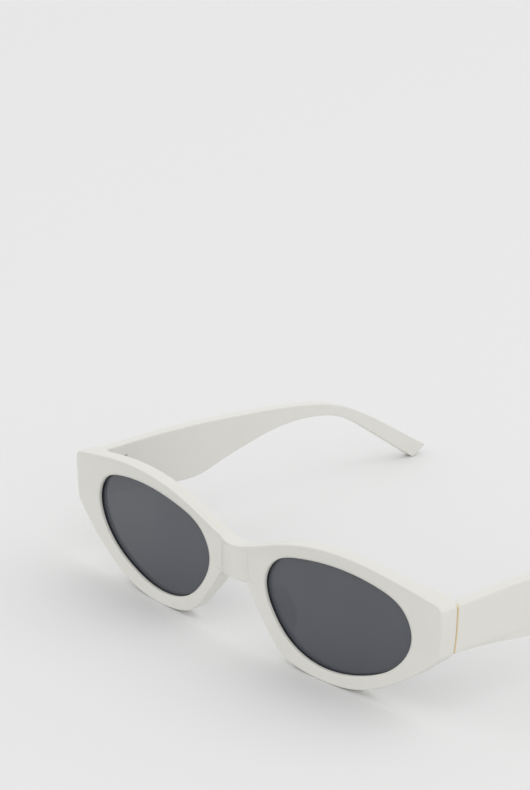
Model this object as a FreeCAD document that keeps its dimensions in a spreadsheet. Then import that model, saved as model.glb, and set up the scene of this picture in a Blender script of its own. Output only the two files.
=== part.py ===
import FreeCAD, Part
import math
import os
import re

from FreeCAD import Placement, Rotation, Vector

# Cat-eye sunglasses, open, standing on the rim bottoms and the temple tips.
# Frame: +Z up, z = 0 is the table, x = 0 is the plane of symmetry, the front faces -Y and the
# temples run back along +Y. The origin is the middle of the underside of the whole pair's box.
# "left" is the wearer's left, which is +X. Millimetres and degrees. Depths are counted back from
# the face of the bridge at table height, which lies at y = face_at.

DOC = FreeCAD.newDocument("CatEyeSunglasses")
SIZES = DOC.addObject("Spreadsheet::Sheet", "Sizes")

DRIVING = [
    ("lens_width", 50.1, "visible lens, side to side"),
    ("lens_height", 30.0, "visible lens, top to bottom"),
    ("bridge_width", 21.8, "between the two lenses"),
    ("endpiece_width", 10.0, "from the lens to the end of the front"),
    ("rim_above", 4.2, "front material above the lens"),
    ("rim_below", 2.6, "front material below the lens"),
    ("front_depth", 4.2, "front to back through the rim"),
    ("face_radius", 556.0, "curve of the front, seen from above"),
    ("front_tilt", 2.15, "top of the front leans forward"),
    ("bridge_radius", 15.0, "curve of the raised bridge pad, seen from above"),
    ("bridge_rise", 0.9, "raised bridge pad above the face"),
    ("lens_recess", 1.4, "face of the rim to the face of the lens"),
    ("lens_gauge", 1.8, "thickness of the lens"),
    ("groove_depth", 0.8, "how far the lens edge runs into the rim"),
    ("butt_gap", 0.1, "play between front and end plate when open"),
    ("plate_gauge", 0.5, "thickness of the end plate"),
    ("temple_gauge", 3.2, "thickness of the temple"),
    ("temple_length", 131.5, "hinge plane to the end of the tip"),
    ("tip_bevel", 5.2, "how far the end of the tip is slanted"),
    ("core_radius", 0.6, "wire inside the temple"),
    ("core_bend", 45.0, "radius of the bend in the wire"),
    ("core_end_wall", 7.0, "from the end of the wire to the end of the tip"),
    ("core_straight", 0.7, "level run of the wire, as a share of the temple"),
    ("knuckle_radius", 1.5, "outside of the hinge barrel"),
    ("knuckle_rise", 2.2, "height of each of the three knuckles"),
    ("knuckle_gap", 0.08, "play between two knuckles"),
    ("barrel_offset", 0.3, "from the barrel to the inner face of the temple"),
    ("barrel_room", 0.5, "from the barrel to the front leaf"),
    ("pin_radius", 0.6, "hinge screw shank"),
    ("pin_head_radius", 1.05, "hinge screw head"),
    ("pin_head_rise", 0.6, "hinge screw head"),
    ("running_clearance", 0.03, "around the shank in the middle knuckle"),
    ("leaf_gauge", 1.0, "thickness of the hinge leaves"),
    ("leaf_reach", 4.4, "front leaf, from the barrel axis inward less the barrel radius"),
    ("temple_leaf_length", 9.0, "leaf let into the temple"),
    ("leaf_cover", 0.28, "how far the front leaf lies below the back of the rim"),
    ("leaf_inset", 0.5, "front end of the temple to its leaf"),
    ("neck_length", 2.0, "solid foot between the barrel and the temple leaf"),
    ("fixing_radius", 0.45, "small fixing screw shank"),
    ("fixing_head_radius", 0.8, "small fixing screw head"),
    ("fixing_head_rise", 0.5, "small fixing screw head"),
    ("fixing_length", 2.4, "small fixing screw, head included"),
    ("fixing_spread", 4.4, "between the two small screws of a leaf"),
    ("fixing_margin", 0.2, "from the head of a small screw to the edge of its leaf"),
    ("slot_width", 0.3, "driver slot"),
    ("slot_depth", 0.25, "driver slot"),
    ("pad_length", 13.4, "nose pad, along the rim"),
    ("pad_root_width", 2.9, "nose pad where it leaves the rim"),
    ("pad_edge_width", 1.5, "nose pad at its back edge"),
    ("pad_reach", 9.8, "back edge of the nose pad"),
    ("pad_seat", 0.16, "from the back of the lens to the root of the nose pad"),
    ("pad_lean", 36.0, "nose pad from upright"),
]
DERIVED = [
    ("half_width", "=bridge_width / 2 + lens_width + endpiece_width"),
    ("front_height", "=rim_below + lens_height + rim_above"),
    ("inner_face", "=half_width - temple_gauge"),
    ("axis_across", "=inner_face - barrel_offset - knuckle_radius"),
    ("hinge_height", "=front_height * 0.68"),
    ("rim_back", "=front_depth + axis_across ^ 2 / (2 * face_radius) - hinge_height * tan(front_tilt * 1deg)"),
    ("leaf_bed", "=rim_back - leaf_cover - leaf_gauge"),
    ("butt_depth", "=leaf_bed + leaf_gauge + barrel_room + knuckle_radius"),
    ("axis_back", "=butt_depth"),
    ("plate_front", "=butt_depth + butt_gap"),
    ("temple_front", "=plate_front + plate_gauge"),
    ("temple_back", "=butt_depth + temple_length"),
    ("root_top", "=front_height * 0.857"),
    ("root_bottom", "=front_height * 0.5"),
    ("bridge_front", "=-bridge_rise - front_height * 0.765 * tan(front_tilt * 1deg)"),
    ("face_at", "=-(temple_back + bridge_front) / 2"),
    ("barrel_rise", "=3 * knuckle_rise + 2 * knuckle_gap"),
    ("barrel_bottom", "=hinge_height - barrel_rise / 2"),
    ("pad_height", "=front_height * 0.275"),
    ("pad_across", "=(half_width * 0.155 + bridge_width / 2 + lens_width * 0.0817) / 2"),
]


def fill_sheet():
    """Put each driving size in a cell with its alias and note, then the sizes worked out from them."""
    row = 1
    for alias, value, note in DRIVING:
        SIZES.set(f"A{row}", alias)
        SIZES.set(f"B{row}", str(value))
        SIZES.set(f"C{row}", note)
        SIZES.setAlias(f"B{row}", alias)
        row += 1
    for alias, formula in DERIVED:
        SIZES.set(f"A{row}", alias)
        SIZES.setAlias(f"B{row}", alias)
        SIZES.set(f"B{row}", formula)
        row += 1
    DOC.recompute()


fill_sheet()
ALIASES = [row[0] for row in DRIVING + DERIVED]
ALIAS_PATTERN = re.compile(r"\b(" + "|".join(ALIASES) + r")\b")


def size(alias):
    """The value of one cell."""
    return float(getattr(SIZES, alias))


def bind(obj, **formulas):
    """Bind properties of obj to the sheet; x, depth and z stand for its position."""
    names = {"x": "Placement.Base.x", "depth": "Placement.Base.y", "z": "Placement.Base.z"}
    for name, formula in formulas.items():
        if name == "depth":
            formula = f"face_at + {formula}"
        bound = ALIAS_PATTERN.sub(r"Sizes.\1", str(formula))
        obj.setExpression(names.get(name, name), bound)
    return obj


def at(depth):
    """The y of a place that lies a depth behind the face plane."""
    return size("face_at") + depth


def box(name, x, depth, z, length, width, height):
    """A box from its low corner and its three edges."""
    solid = DOC.addObject("Part::Box", name)
    return bind(solid, x=x, depth=depth, z=z, Length=length, Width=width, Height=height)


def rod(name, x, depth, z, radius, height, axis=Vector(0, 0, 1)):
    """A cylinder from the centre of its first end, along an axis."""
    solid = DOC.addObject("Part::Cylinder", name)
    solid.Placement = Placement(Vector(), Rotation(Vector(0, 0, 1), axis))
    return bind(solid, x=x, depth=depth, z=z, Radius=radius, Height=height)


def fuse(name, shapes):
    """One solid from several that touch or overlap."""
    joined = DOC.addObject("Part::MultiFuse", name)
    joined.Shapes = shapes
    return joined


def cut(name, base, tool):
    """Base with tool taken out of it."""
    result = DOC.addObject("Part::Cut", name)
    result.Base = base
    result.Tool = tool
    return result


def common(name, shapes):
    """What all the shapes share."""
    result = DOC.addObject("Part::MultiCommon", name)
    result.Shapes = shapes
    return result


def group(name, shapes):
    """Separate solids kept together."""
    result = DOC.addObject("Part::Compound", name)
    result.Links = shapes
    return result


def mirror(name, source):
    """The same piece on the other side of the plane of symmetry."""
    result = DOC.addObject("Part::Mirroring", name)
    result.Source = source
    result.Normal = Vector(1, 0, 0)
    return result


def extrude(name, profile, direction, length):
    """A solid drawn out of a flat profile."""
    result = DOC.addObject("Part::Extrusion", name)
    result.Base = profile
    result.DirMode = "Custom"
    result.Dir = direction
    result.Solid = True
    return bind(result, LengthFwd=length)


def flat(name, wire):
    """A flat face kept as an object of the document."""
    face = DOC.addObject("Part::Feature", name)
    face.Shape = Part.Face(wire)
    return face


def curve(points, closed=False):
    """An edge that passes smoothly through the points."""
    spline = Part.BSplineCurve()
    spline.interpolate(Points=points, PeriodicFlag=closed)
    return spline.toShape()


# ---------------------------------------------------------------- outlines
# Shares of the half width and of the front height, from the bridge outward.
BROW_SHARES = [(0.0, 0.765), (0.056, 0.779), (0.141, 0.832), (0.242, 0.904), (0.395, 0.976)]
BROW_SHARES += [(0.59, 1.0), (0.775, 0.965), (0.985, 0.886)]
END_SHARES = [(1.0, 0.85), (0.999, 0.67), (0.992, 0.51)]
CHEEK_SHARES = [(0.985, 0.487), (0.875, 0.301), (0.782, 0.182), (0.69, 0.086), (0.597, 0.026)]
CHEEK_SHARES += [(0.458, 0.0), (0.352, 0.014), (0.268, 0.06), (0.169, 0.238), (0.069, 0.505)]
# Shares of the lens width and height, once round from the nose side over the top.
LENS_SHARES = [(0.0, 0.608), (0.07, 0.824), (0.247, 0.947), (0.511, 1.0), (0.784, 0.958), (0.94, 0.844)]
LENS_SHARES += [(1.0, 0.625), (0.924, 0.329), (0.69, 0.086), (0.411, 0.0), (0.188, 0.103), (0.058, 0.316)]


def front_outline():
    """Closed outline of the whole front, in the plane in front of it."""
    half, tall = size("half_width"), size("front_height")
    start = at(-size("front_depth"))

    def place(shares, side=1):
        return [Vector(side * across * half, start, up * tall) for across, up in shares]

    brow = place(BROW_SHARES[::-1]) + place(BROW_SHARES[1:], -1)
    edges = [curve(brow)]
    for side in (1, -1):
        end, cheek = place(END_SHARES, side), place(CHEEK_SHARES, side)
        top = place(BROW_SHARES[-1:], side)[0]
        edges += [Part.makeLine(top, end[0]), curve(end), Part.makeLine(end[-1], cheek[0]), curve(cheek)]
    arch = place(CHEEK_SHARES[-1:])[0]
    edges.append(Part.makeLine(arch, Vector(-arch.x, arch.y, arch.z)))
    return Part.Wire(Part.__sortEdges__(edges))


def lens_outline(grow):
    """Closed outline of the lens opening, grown by a margin all round."""
    wide, tall = size("lens_width"), size("lens_height")
    left, low = size("bridge_width") / 2, size("rim_below")
    points = []
    for across, up in LENS_SHARES:
        x = left - grow + across * (wide + 2 * grow)
        z = low - grow + up * (tall + 2 * grow)
        points.append(Vector(x, at(-size("front_depth")), z))
    return Part.Wire(curve(points, closed=True))


# Shares of the temple length and of the front height, from the hinge to the tip.
TOP_SHARES = [(0.0, 0.857), (0.145, 0.865), (0.287, 0.854), (0.435, 0.819), (0.556, 0.777), (0.632, 0.735)]
TOP_SHARES += [(0.7, 0.675), (0.763, 0.582), (0.83, 0.454)]
HINGE_UNDER = [(0.0, 0.5), (0.1, 0.465), (0.245, 0.412)]
BAR_UNDER = [(0.285, 0.418), (0.348, 0.489), (0.437, 0.573), (0.525, 0.63), (0.588, 0.639), (0.65, 0.62)]
BAR_UNDER += [(0.714, 0.56), (0.78, 0.435)]


def temple_outline():
    """Closed side outline of one temple, on its inner face."""
    inner, tall = size("inner_face"), size("front_height")
    start, back = at(size("temple_front")), at(size("temple_back"))
    run = back - start

    def place(shares):
        return [Vector(inner, start + along * run, up * tall) for along, up in shares]

    top, hinge, bar = place(TOP_SHARES), place(HINGE_UNDER), place(BAR_UNDER)
    heel = Vector(inner, back - size("tip_bevel"), 0)
    crown = Vector(inner, back, tall * 0.085)
    edges = [curve(top), Part.makeLine(top[-1], crown), Part.makeLine(crown, heel)]
    edges += [Part.makeLine(heel, bar[-1]), curve(bar), Part.makeLine(bar[0], hinge[-1]), curve(hinge)]
    edges.append(Part.makeLine(hinge[0], top[0]))
    return Part.Wire(Part.__sortEdges__(edges))


# ---------------------------------------------------------------- front
def face_curve(name, radius):
    """Upright cylinder that gives the front its curve, leaning with it."""
    solid = DOC.addObject("Part::Cylinder", name)
    lean = Rotation(Vector(1, 0, 0), size("front_tilt"))
    start = lean.multVec(Vector(0, size("face_radius"), -2 * size("front_depth")))
    solid.Placement = Placement(start + Vector(0, at(0), 0), lean)
    return bind(solid, Radius=radius, Height="front_height + 4 * front_depth")


def bridge_pad():
    """Raised middle of the bridge: a slice of a small upright cylinder."""
    barrel = DOC.addObject("Part::Cylinder", "BridgeBarrel")
    lean = Rotation(Vector(1, 0, 0), size("front_tilt"))
    start = lean.multVec(Vector(0, size("bridge_radius") - size("bridge_rise"), 0))
    barrel.Placement = Placement(start + Vector(0, at(0), 0), lean)
    bind(barrel, Radius="bridge_radius", Height="front_height")
    keep = box("BridgeKeep", "-bridge_width / 2", "-front_depth", "0",
               "bridge_width", "front_depth * 1.3", "front_height")
    return common("BridgePad", [barrel, keep])


def lens_prisms(label, grow, end):
    """The opening of the right and left rim drawn out front to back."""
    outline = flat(label + "Outline", lens_outline(grow))
    left = extrude(label + "Left", outline, Vector(0, 1, 0), end)
    return left, mirror(label + "Right", left)


def build_lenses():
    """Curved lens blanks, one each side, wider than the opening by the groove."""
    outer = face_curve("LensFace", "face_radius - lens_recess")
    inner = face_curve("LensBack", "face_radius - lens_recess - lens_gauge")
    shell = cut("LensShell", outer, inner)
    prisms = lens_prisms("LensEdge", size("groove_depth"), "front_depth * 5")
    left = common("lens_left", [shell, prisms[0]])
    return left, mirror("lens_right", left)


def build_front(lenses, hinge_tools):
    """Rims, bridge and endpieces in one piece, cut for the lenses and the hinges."""
    face = face_curve("FaceCurve", "face_radius")
    back = face_curve("BackCurve", "face_radius - front_depth")
    shell = cut("RimShell", face, back)
    block = box("EndpieceBlock", "inner_face", "0", "0", "temple_gauge * 2", "butt_depth", "front_height")
    endpiece = common("EndpieceLeft", [face, block])
    body = fuse("FrontBody", [shell, endpiece, mirror("EndpieceRight", endpiece), bridge_pad()])
    outline = flat("FrontOutline", front_outline())
    prism = extrude("FrontPrism", outline, Vector(0, 1, 0), "front_depth + butt_depth")
    blank = common("FrontBlank", [body, prism])
    openings = list(lens_prisms("Opening", 0, "front_depth * 5"))
    return cut("front_frame", blank, fuse("FrontTools", openings + list(lenses) + hinge_tools))


def build_nose_pad(front):
    """Nose pad: an oval drawn back and narrowing from the nose side of the rim."""
    lean = math.radians(size("pad_lean"))
    along = Vector(math.sin(lean), 0, -math.cos(lean))
    turned = Rotation(along, Vector(0, 0, 0), Vector(0, 1, 0), "XZY")
    widths = ["pad_root_width", "(pad_root_width + pad_edge_width) / 2 + 0.2", "pad_edge_width"]
    backs = ["lens_recess + lens_gauge + pad_seat", "(front_depth + pad_reach) / 2", "pad_reach"]
    lengths = ["pad_length", "pad_length * 0.98", "pad_length * 0.9"]
    ovals = []
    for index, (width, depth, length) in enumerate(zip(widths, backs, lengths)):
        oval = DOC.addObject("Part::Ellipse", f"PadOval{index}")
        oval.Placement = Placement(Vector(), turned)
        bind(oval, x="pad_across", depth=f"({depth})", z="pad_height")
        bind(oval, MajorRadius=f"{length} / 2", MinorRadius=f"({width}) / 2")
        ovals.append(oval)
    loft = DOC.addObject("Part::Loft", "PadLoft")
    loft.Sections = ovals
    loft.Solid = True
    left = cut("nose_pad_left", loft, front)
    return left, mirror("nose_pad_right", left)


# ---------------------------------------------------------------- hinge
def barrel(name, bottom, rise, bore):
    """One knuckle or a stack of them on the hinge axis, with its bore."""
    outer = rod(name + "Outer", "axis_across", "axis_back", bottom, "knuckle_radius", rise)
    inner = rod(name + "Bore", "axis_across", "axis_back", f"{bottom} - 1", bore, f"{rise} + 2")
    return outer, inner


def build_hinge_screw():
    """Hinge screw: slotted head sunk in the top knuckle, shank down through all three."""
    shank = rod("PinShank", "axis_across", "axis_back", "barrel_bottom", "pin_radius", "barrel_rise")
    head = rod("PinHead", "axis_across", "axis_back", "barrel_bottom + barrel_rise - pin_head_rise",
               "pin_head_radius", "pin_head_rise")
    slot = box("PinSlot", "axis_across - pin_head_radius", "axis_back - slot_width / 2",
               "barrel_bottom + barrel_rise - slot_depth", "2 * pin_head_radius", "slot_width", "1")
    whole = fuse("PinWhole", [shank, head])
    return cut("hinge_screw_left", whole, slot), whole


def build_fixings(label, x, depth, axis, slot_box):
    """Two small slotted screws through a leaf, one above the other."""
    plain, slotted = [], []
    for index, side in enumerate(("-", "+")):
        height = f"hinge_height {side} fixing_spread / 2"
        name = f"{label}{index}"
        shank = rod(name + "Shank", x, depth, height, "fixing_radius", "fixing_length", axis)
        head = rod(name + "Head", x, depth, height, "fixing_head_radius", "fixing_head_rise", axis)
        whole = fuse(name + "Whole", [shank, head])
        plain.append(whole)
        slotted.append(cut(name + "Slotted", whole, slot_box(name + "Slot", height)))
    return plain, slotted


def build_front_hinge(pin):
    """Front leaf let into the back of the endpiece, with the two outer knuckles."""
    step = "(knuckle_rise + knuckle_gap)"
    solids, bores = [], []
    for index, bottom in enumerate(("barrel_bottom", f"barrel_bottom + 2 * {step}")):
        outer, inner = barrel(f"FrontKnuckle{index}", bottom, "knuckle_rise", "pin_radius")
        block = box(f"FrontNeck{index}", "axis_across - knuckle_radius", "leaf_bed", bottom,
                    "2 * knuckle_radius", "axis_back - leaf_bed", "knuckle_rise")
        solids += [outer, block]
        bores.append(inner)
    plate = box("FrontLeafPlate", "axis_across - leaf_reach + knuckle_radius", "leaf_bed", "barrel_bottom",
                "leaf_reach", "leaf_gauge", "barrel_rise")

    def slot(name, height):
        return box(name, f"{screw_x} - fixing_head_radius", f"{screw_y} - slot_depth",
                   f"{height} - slot_width / 2", "2 * fixing_head_radius", "1", "slot_width")

    screw_x = "axis_across - leaf_reach + knuckle_radius + fixing_head_radius + fixing_margin"
    screw_y = "leaf_bed + leaf_gauge"
    plain, slotted = build_fixings("FrontFixing", screw_x, screw_y, Vector(0, -1, 0), slot)
    screws = group("front_hinge_fixings_left", slotted)
    body = fuse("FrontHingeBody", solids + [plate])
    leaf = cut("front_hinge_left", body, fuse("FrontHingeTools", [pin] + plain))
    pocket = box("FrontLeafPocket", "axis_across - leaf_reach + knuckle_radius", "leaf_bed", "barrel_bottom",
                 "leaf_reach", "butt_depth", "barrel_rise")
    tools = [pocket] + plain
    for tool in list(tools):
        tools.append(mirror(tool.Name + "Right", tool))
    return leaf, screws, tools


def build_temple_hinge():
    """Temple leaf let into the inner face of the temple, with the middle knuckle."""
    step = "(knuckle_rise + knuckle_gap)"
    bottom = f"barrel_bottom + {step}"
    outer, inner = barrel("TempleKnuckle", bottom, "knuckle_rise", "pin_radius + running_clearance")
    leaf_start = "temple_front + leaf_inset"
    strap = box("TempleStrap", "axis_across", "axis_back", bottom,
                "knuckle_radius", "temple_front - axis_back + leaf_inset + neck_length", "knuckle_rise")
    foot = box("TempleFoot", "axis_across", leaf_start, bottom,
               "inner_face - axis_across + leaf_gauge", "neck_length", "knuckle_rise")
    plate = box("TempleLeafPlate", "inner_face", leaf_start, "barrel_bottom",
                "leaf_gauge", "temple_leaf_length", "barrel_rise")

    def slot(name, height):
        return box(name, "inner_face - 1 + slot_depth", f"{screw_y} - fixing_head_radius",
                   f"{height} - slot_width / 2", "1", "2 * fixing_head_radius", "slot_width")

    screw_y = "temple_front + leaf_inset + temple_leaf_length - 2 * fixing_head_radius"
    plain, slotted = build_fixings("TempleFixing", "inner_face", screw_y, Vector(1, 0, 0), slot)
    screws = group("temple_hinge_fixings_left", slotted)
    body = fuse("TempleHingeBody", [outer, strap, foot, plate])
    leaf = cut("temple_hinge_left", body, fuse("TempleHingeTools", [inner] + plain))
    return leaf, screws, [plate] + plain


# ---------------------------------------------------------------- temple
def build_core():
    """Wire core: level along the temple, one bend, straight down into the tip."""
    across = size("inner_face") + size("leaf_gauge") + size("core_radius")
    tall, back = size("front_height"), at(size("temple_back"))
    start = Vector(across, at(size("temple_front")), size("hinge_height"))
    corner = Vector(across, start.y + size("core_straight") * (back - start.y), start.z)
    tip = Vector(across, back - size("tip_bevel") / 2, tall * 0.045)
    down = (tip - corner).normalize()
    end = tip - down * size("core_end_wall")
    ahead = (corner - start).normalize()
    turn = ahead.getAngle(down)
    reach = size("core_bend") * math.tan(turn / 2)
    bend_in, bend_out = corner - ahead * reach, corner + down * reach
    inward = (down - ahead).normalize()
    middle = corner + inward * (size("core_bend") / math.cos(turn / 2) - size("core_bend"))
    edges = [Part.makeLine(start, bend_in), Part.Arc(bend_in, middle, bend_out).toShape(), Part.makeLine(bend_out, end)]
    path = DOC.addObject("Part::Feature", "CorePath")
    path.Shape = Part.Wire(edges)
    section = DOC.addObject("Part::Circle", "CoreSection")
    section.Placement = Placement(start, Rotation(Vector(0, 0, 1), ahead))
    bind(section, Radius="core_radius")
    core = DOC.addObject("Part::Sweep", "temple_core_left")
    core.Sections = [section]
    core.Spine = (path, ["Edge1", "Edge2", "Edge3"])
    core.Solid = True
    return core


def build_end_plate():
    """Thin metal plate on the front end of the temple."""
    return box("end_plate_left", "inner_face", "plate_front", "root_bottom",
               "temple_gauge", "plate_gauge", "root_top - root_bottom")


def build_temple(tools):
    """Temple bar, cut for its leaf, screws and wire."""
    outline = flat("TempleOutline", temple_outline())
    blank = extrude("TempleBlank", outline, Vector(1, 0, 0), "temple_gauge")
    return cut("temple_left", blank, fuse("TempleTools", tools))


def build_all():
    """Build the left side and the front, mirror the paired pieces, and return the nodes."""
    screw, pin = build_hinge_screw()
    front_leaf, front_screws, front_tools = build_front_hinge(pin)
    temple_leaf, temple_screws, temple_tools = build_temple_hinge()
    lenses = build_lenses()
    front = build_front(lenses, front_tools)
    pads = build_nose_pad(front)
    core = build_core()
    temple = build_temple(temple_tools + [core])
    nodes = [front, *lenses, *pads]
    for piece in (front_leaf, front_screws, screw, temple_leaf, temple_screws, build_end_plate(), core, temple):
        nodes += [piece, mirror(piece.Name.replace("_left", "_right"), piece)]
    return nodes


def check(nodes):
    """Stop if anything failed, or if a sub-part is empty or broken."""
    DOC.recompute()
    for obj in DOC.Objects:
        state = set(obj.State)
        if state & {"Invalid", "Error"}:
            raise RuntimeError(f"{obj.Name} is {sorted(state)}")
    for node in nodes:
        if node.Shape.isNull() or not node.Shape.isValid() or not node.Shape.Solids:
            raise RuntimeError(f"{node.Label} has no valid solid")


def export(nodes):
    """Write each sub-part to its own file."""
    os.makedirs("parts", exist_ok=True)
    for node in nodes:
        node.Label = node.Name
        node.Shape.exportStep(f"parts/{node.Label}.step")
        print(f"{node.Label:28s} solids {len(node.Shape.Solids)}  volume {node.Shape.Volume:9.2f}")


NODES = build_all()
check(NODES)
export(NODES)
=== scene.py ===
"""Cat-eye sunglasses: the finished look of the pair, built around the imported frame.

Sizes here are in millimetres and become metres when a mesh is made. Places come from the boxes of the
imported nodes. x runs to the wearer's left, the front faces -y, z = 0 is the table.
"""

import logging
import math
from dataclasses import dataclass
from enum import Enum

import bmesh
import bpy
import numpy as np
from mathutils import Matrix, Vector

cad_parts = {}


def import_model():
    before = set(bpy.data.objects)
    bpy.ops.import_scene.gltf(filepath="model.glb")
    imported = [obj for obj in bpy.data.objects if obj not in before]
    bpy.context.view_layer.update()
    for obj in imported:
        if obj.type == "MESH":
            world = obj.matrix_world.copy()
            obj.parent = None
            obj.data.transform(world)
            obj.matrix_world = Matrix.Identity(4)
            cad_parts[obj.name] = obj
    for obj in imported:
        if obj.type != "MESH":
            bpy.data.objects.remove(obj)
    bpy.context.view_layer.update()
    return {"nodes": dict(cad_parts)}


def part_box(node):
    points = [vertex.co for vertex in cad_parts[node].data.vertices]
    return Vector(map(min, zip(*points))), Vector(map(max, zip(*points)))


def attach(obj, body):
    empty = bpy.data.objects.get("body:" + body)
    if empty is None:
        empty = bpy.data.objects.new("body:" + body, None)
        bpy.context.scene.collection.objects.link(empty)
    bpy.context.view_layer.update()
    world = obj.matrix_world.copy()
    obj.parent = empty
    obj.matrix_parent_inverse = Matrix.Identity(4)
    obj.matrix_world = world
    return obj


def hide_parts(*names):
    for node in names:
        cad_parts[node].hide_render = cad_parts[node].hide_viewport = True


LOG = logging.getLogger("sunglasses")
MM = 0.001


class Side(Enum):
    """The wearer's sides; the value is the sign of x."""

    LEFT = 1
    RIGHT = -1

    @property
    def word(self) -> str:
        """The side as it stands in node names."""
        return self.name.lower()


# ------------------------------------------------------------------ curves


def cubic_through(points: np.ndarray, count: int, closed: bool = False) -> np.ndarray:
    """A smooth curve through points: piecewise cubics whose slope and bend run on at every point.

    The parameter is the summed chord length. The bends solve the usual three-term system, with no bend at
    the two ends of an open curve and a wrapped system for a closed one.

    Args:
        points: The points, one row each.
        count: How many samples to give back.
        closed: Whether the curve returns to its first point.

    Returns:
        The samples, one row each; a closed curve's last sample stops short of its first.
    """
    knots = np.vstack([points, points[:1]]) if closed else np.asarray(points, float)
    reach = np.linalg.norm(np.diff(knots, axis=0), axis=1)
    at = np.concatenate([[0.0], np.cumsum(reach)])
    last = len(knots) - 1
    system = np.zeros((last + 1, last + 1))
    right = np.zeros_like(knots)
    rise = np.diff(knots, axis=0) / reach[:, None]
    inner = np.arange(1, last)
    system[inner, inner - 1] = reach[:-1]
    system[inner, inner] = 2 * (reach[:-1] + reach[1:])
    system[inner, inner + 1] = reach[1:]
    right[1:-1] = 6 * np.diff(rise, axis=0)
    if closed:
        system[0, [0, 1, last - 1]] = [2 * (reach[0] + reach[-1]), reach[0], reach[-1]]
        right[0] = 6 * (rise[0] - rise[-1])
        system[last, [0, last]] = [1, -1]
    else:
        system[0, 0] = system[last, last] = 1
    bend = np.linalg.solve(system, right)
    want = np.linspace(0, at[-1], count, endpoint=not closed)
    span = np.clip(np.searchsorted(at, want, side="right") - 1, 0, last - 1)
    width = reach[span][:, None]
    ahead = ((want - at[span]) / reach[span])[:, None]
    behind = 1 - ahead
    straight = behind * knots[span] + ahead * knots[span + 1]
    bow = ((behind**3 - behind) * bend[span] + (ahead**3 - ahead) * bend[span + 1]) * width**2 / 6
    return straight + bow


def evened(points: np.ndarray, count: int, closed: bool = False) -> np.ndarray:
    """The same line with count points at equal distances along it.

    Args:
        points: Points of the line, one row each.
        count: How many points to give back.
        closed: Whether the line returns to its first point.

    Returns:
        The points, one row each; a closed line's last point stops short of its first.
    """
    line = np.vstack([points, points[:1]]) if closed else points
    run = np.concatenate([[0.0], np.cumsum(np.linalg.norm(np.diff(line, axis=0), axis=1))])
    want = np.linspace(0, run[-1], count, endpoint=not closed)
    return np.stack([np.interp(want, run, line[:, axis]) for axis in range(line.shape[1])], axis=1)


def eased(loop: np.ndarray, width: float) -> np.ndarray:
    """A closed line with its corners eased: every point becomes a bell-weighted mean of its neighbours.

    Args:
        loop: Evenly spaced points of a closed line.
        width: Standard deviation of the bell, along the line.

    Returns:
        The eased points, in the same number.
    """
    step = np.linalg.norm(loop[1] - loop[0])
    away = np.minimum(np.arange(len(loop)), len(loop) - np.arange(len(loop))) * step
    bell = np.exp(-0.5 * (away / width) ** 2)
    bell /= bell.sum()
    wave = np.fft.rfft(bell)[:, None]
    return np.fft.irfft(np.fft.rfft(loop, axis=0) * wave, n=len(loop), axis=0)


def outward(loop: np.ndarray) -> np.ndarray:
    """Unit normals of a closed line in its plane, pointing out of it whichever way it runs.

    The tangent is the step from the point before to the point after, and the normal is the tangent turned
    by a quarter. The sign of the enclosed area says which way the line runs.

    Args:
        loop: Points of the closed line, (point, 2).

    Returns:
        One unit normal for each point.
    """
    along = np.roll(loop, -1, axis=0) - np.roll(loop, 1, axis=0)
    normal = np.stack([along[:, 1], -along[:, 0]], axis=1)
    normal /= np.linalg.norm(normal, axis=1)[:, None]
    turns = np.sum(loop[:, 0] * np.roll(loop[:, 1], -1) - np.roll(loop[:, 0], -1) * loop[:, 1])
    return normal if turns > 0 else -normal


def crowded(loop: np.ndarray, count: int, bend_weight: float) -> np.ndarray:
    """Samples of an open line that stand closer where it bends.

    The samples are even in the sum of length and bend_weight times the turned angle.

    Args:
        loop: Closely spaced points of the line.
        count: How many samples to give back.
        bend_weight: Millimetres that one radian of turn counts for.

    Returns:
        Indices into the line, ascending, first and last included.
    """
    along = np.diff(loop, axis=0)
    length = np.linalg.norm(along, axis=1)
    heading = np.unwrap(np.arctan2(along[:, 1], along[:, 0]))
    turn = np.concatenate([np.abs(np.diff(heading)), [0.0]])
    measure = np.concatenate([[0.0], np.cumsum(length + bend_weight * turn)])
    picks = np.searchsorted(measure, np.linspace(0, measure[-1], count))
    return np.unique(np.clip(picks, 0, len(loop) - 1))


# ------------------------------------------------------------------ meshes


def sheet_faces(rows: int, columns: int, wrap_rows: bool, wrap_columns: bool) -> np.ndarray:
    """Quads of a grid whose point (row, column) has number row * columns + column.

    Args:
        rows: Rows of points.
        columns: Points in each row.
        wrap_rows: Whether the last row joins the first.
        wrap_columns: Whether each row's last point joins its first.

    Returns:
        Point numbers, (row, column, 4).
    """
    row = np.arange(rows if wrap_rows else rows - 1)[:, None]
    column = np.arange(columns if wrap_columns else columns - 1)[None, :]
    here, over = row * columns, ((row + 1) % rows) * columns
    nxt = (column + 1) % columns
    return np.stack([here + column, here + nxt, over + nxt, over + column], axis=-1)


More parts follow.
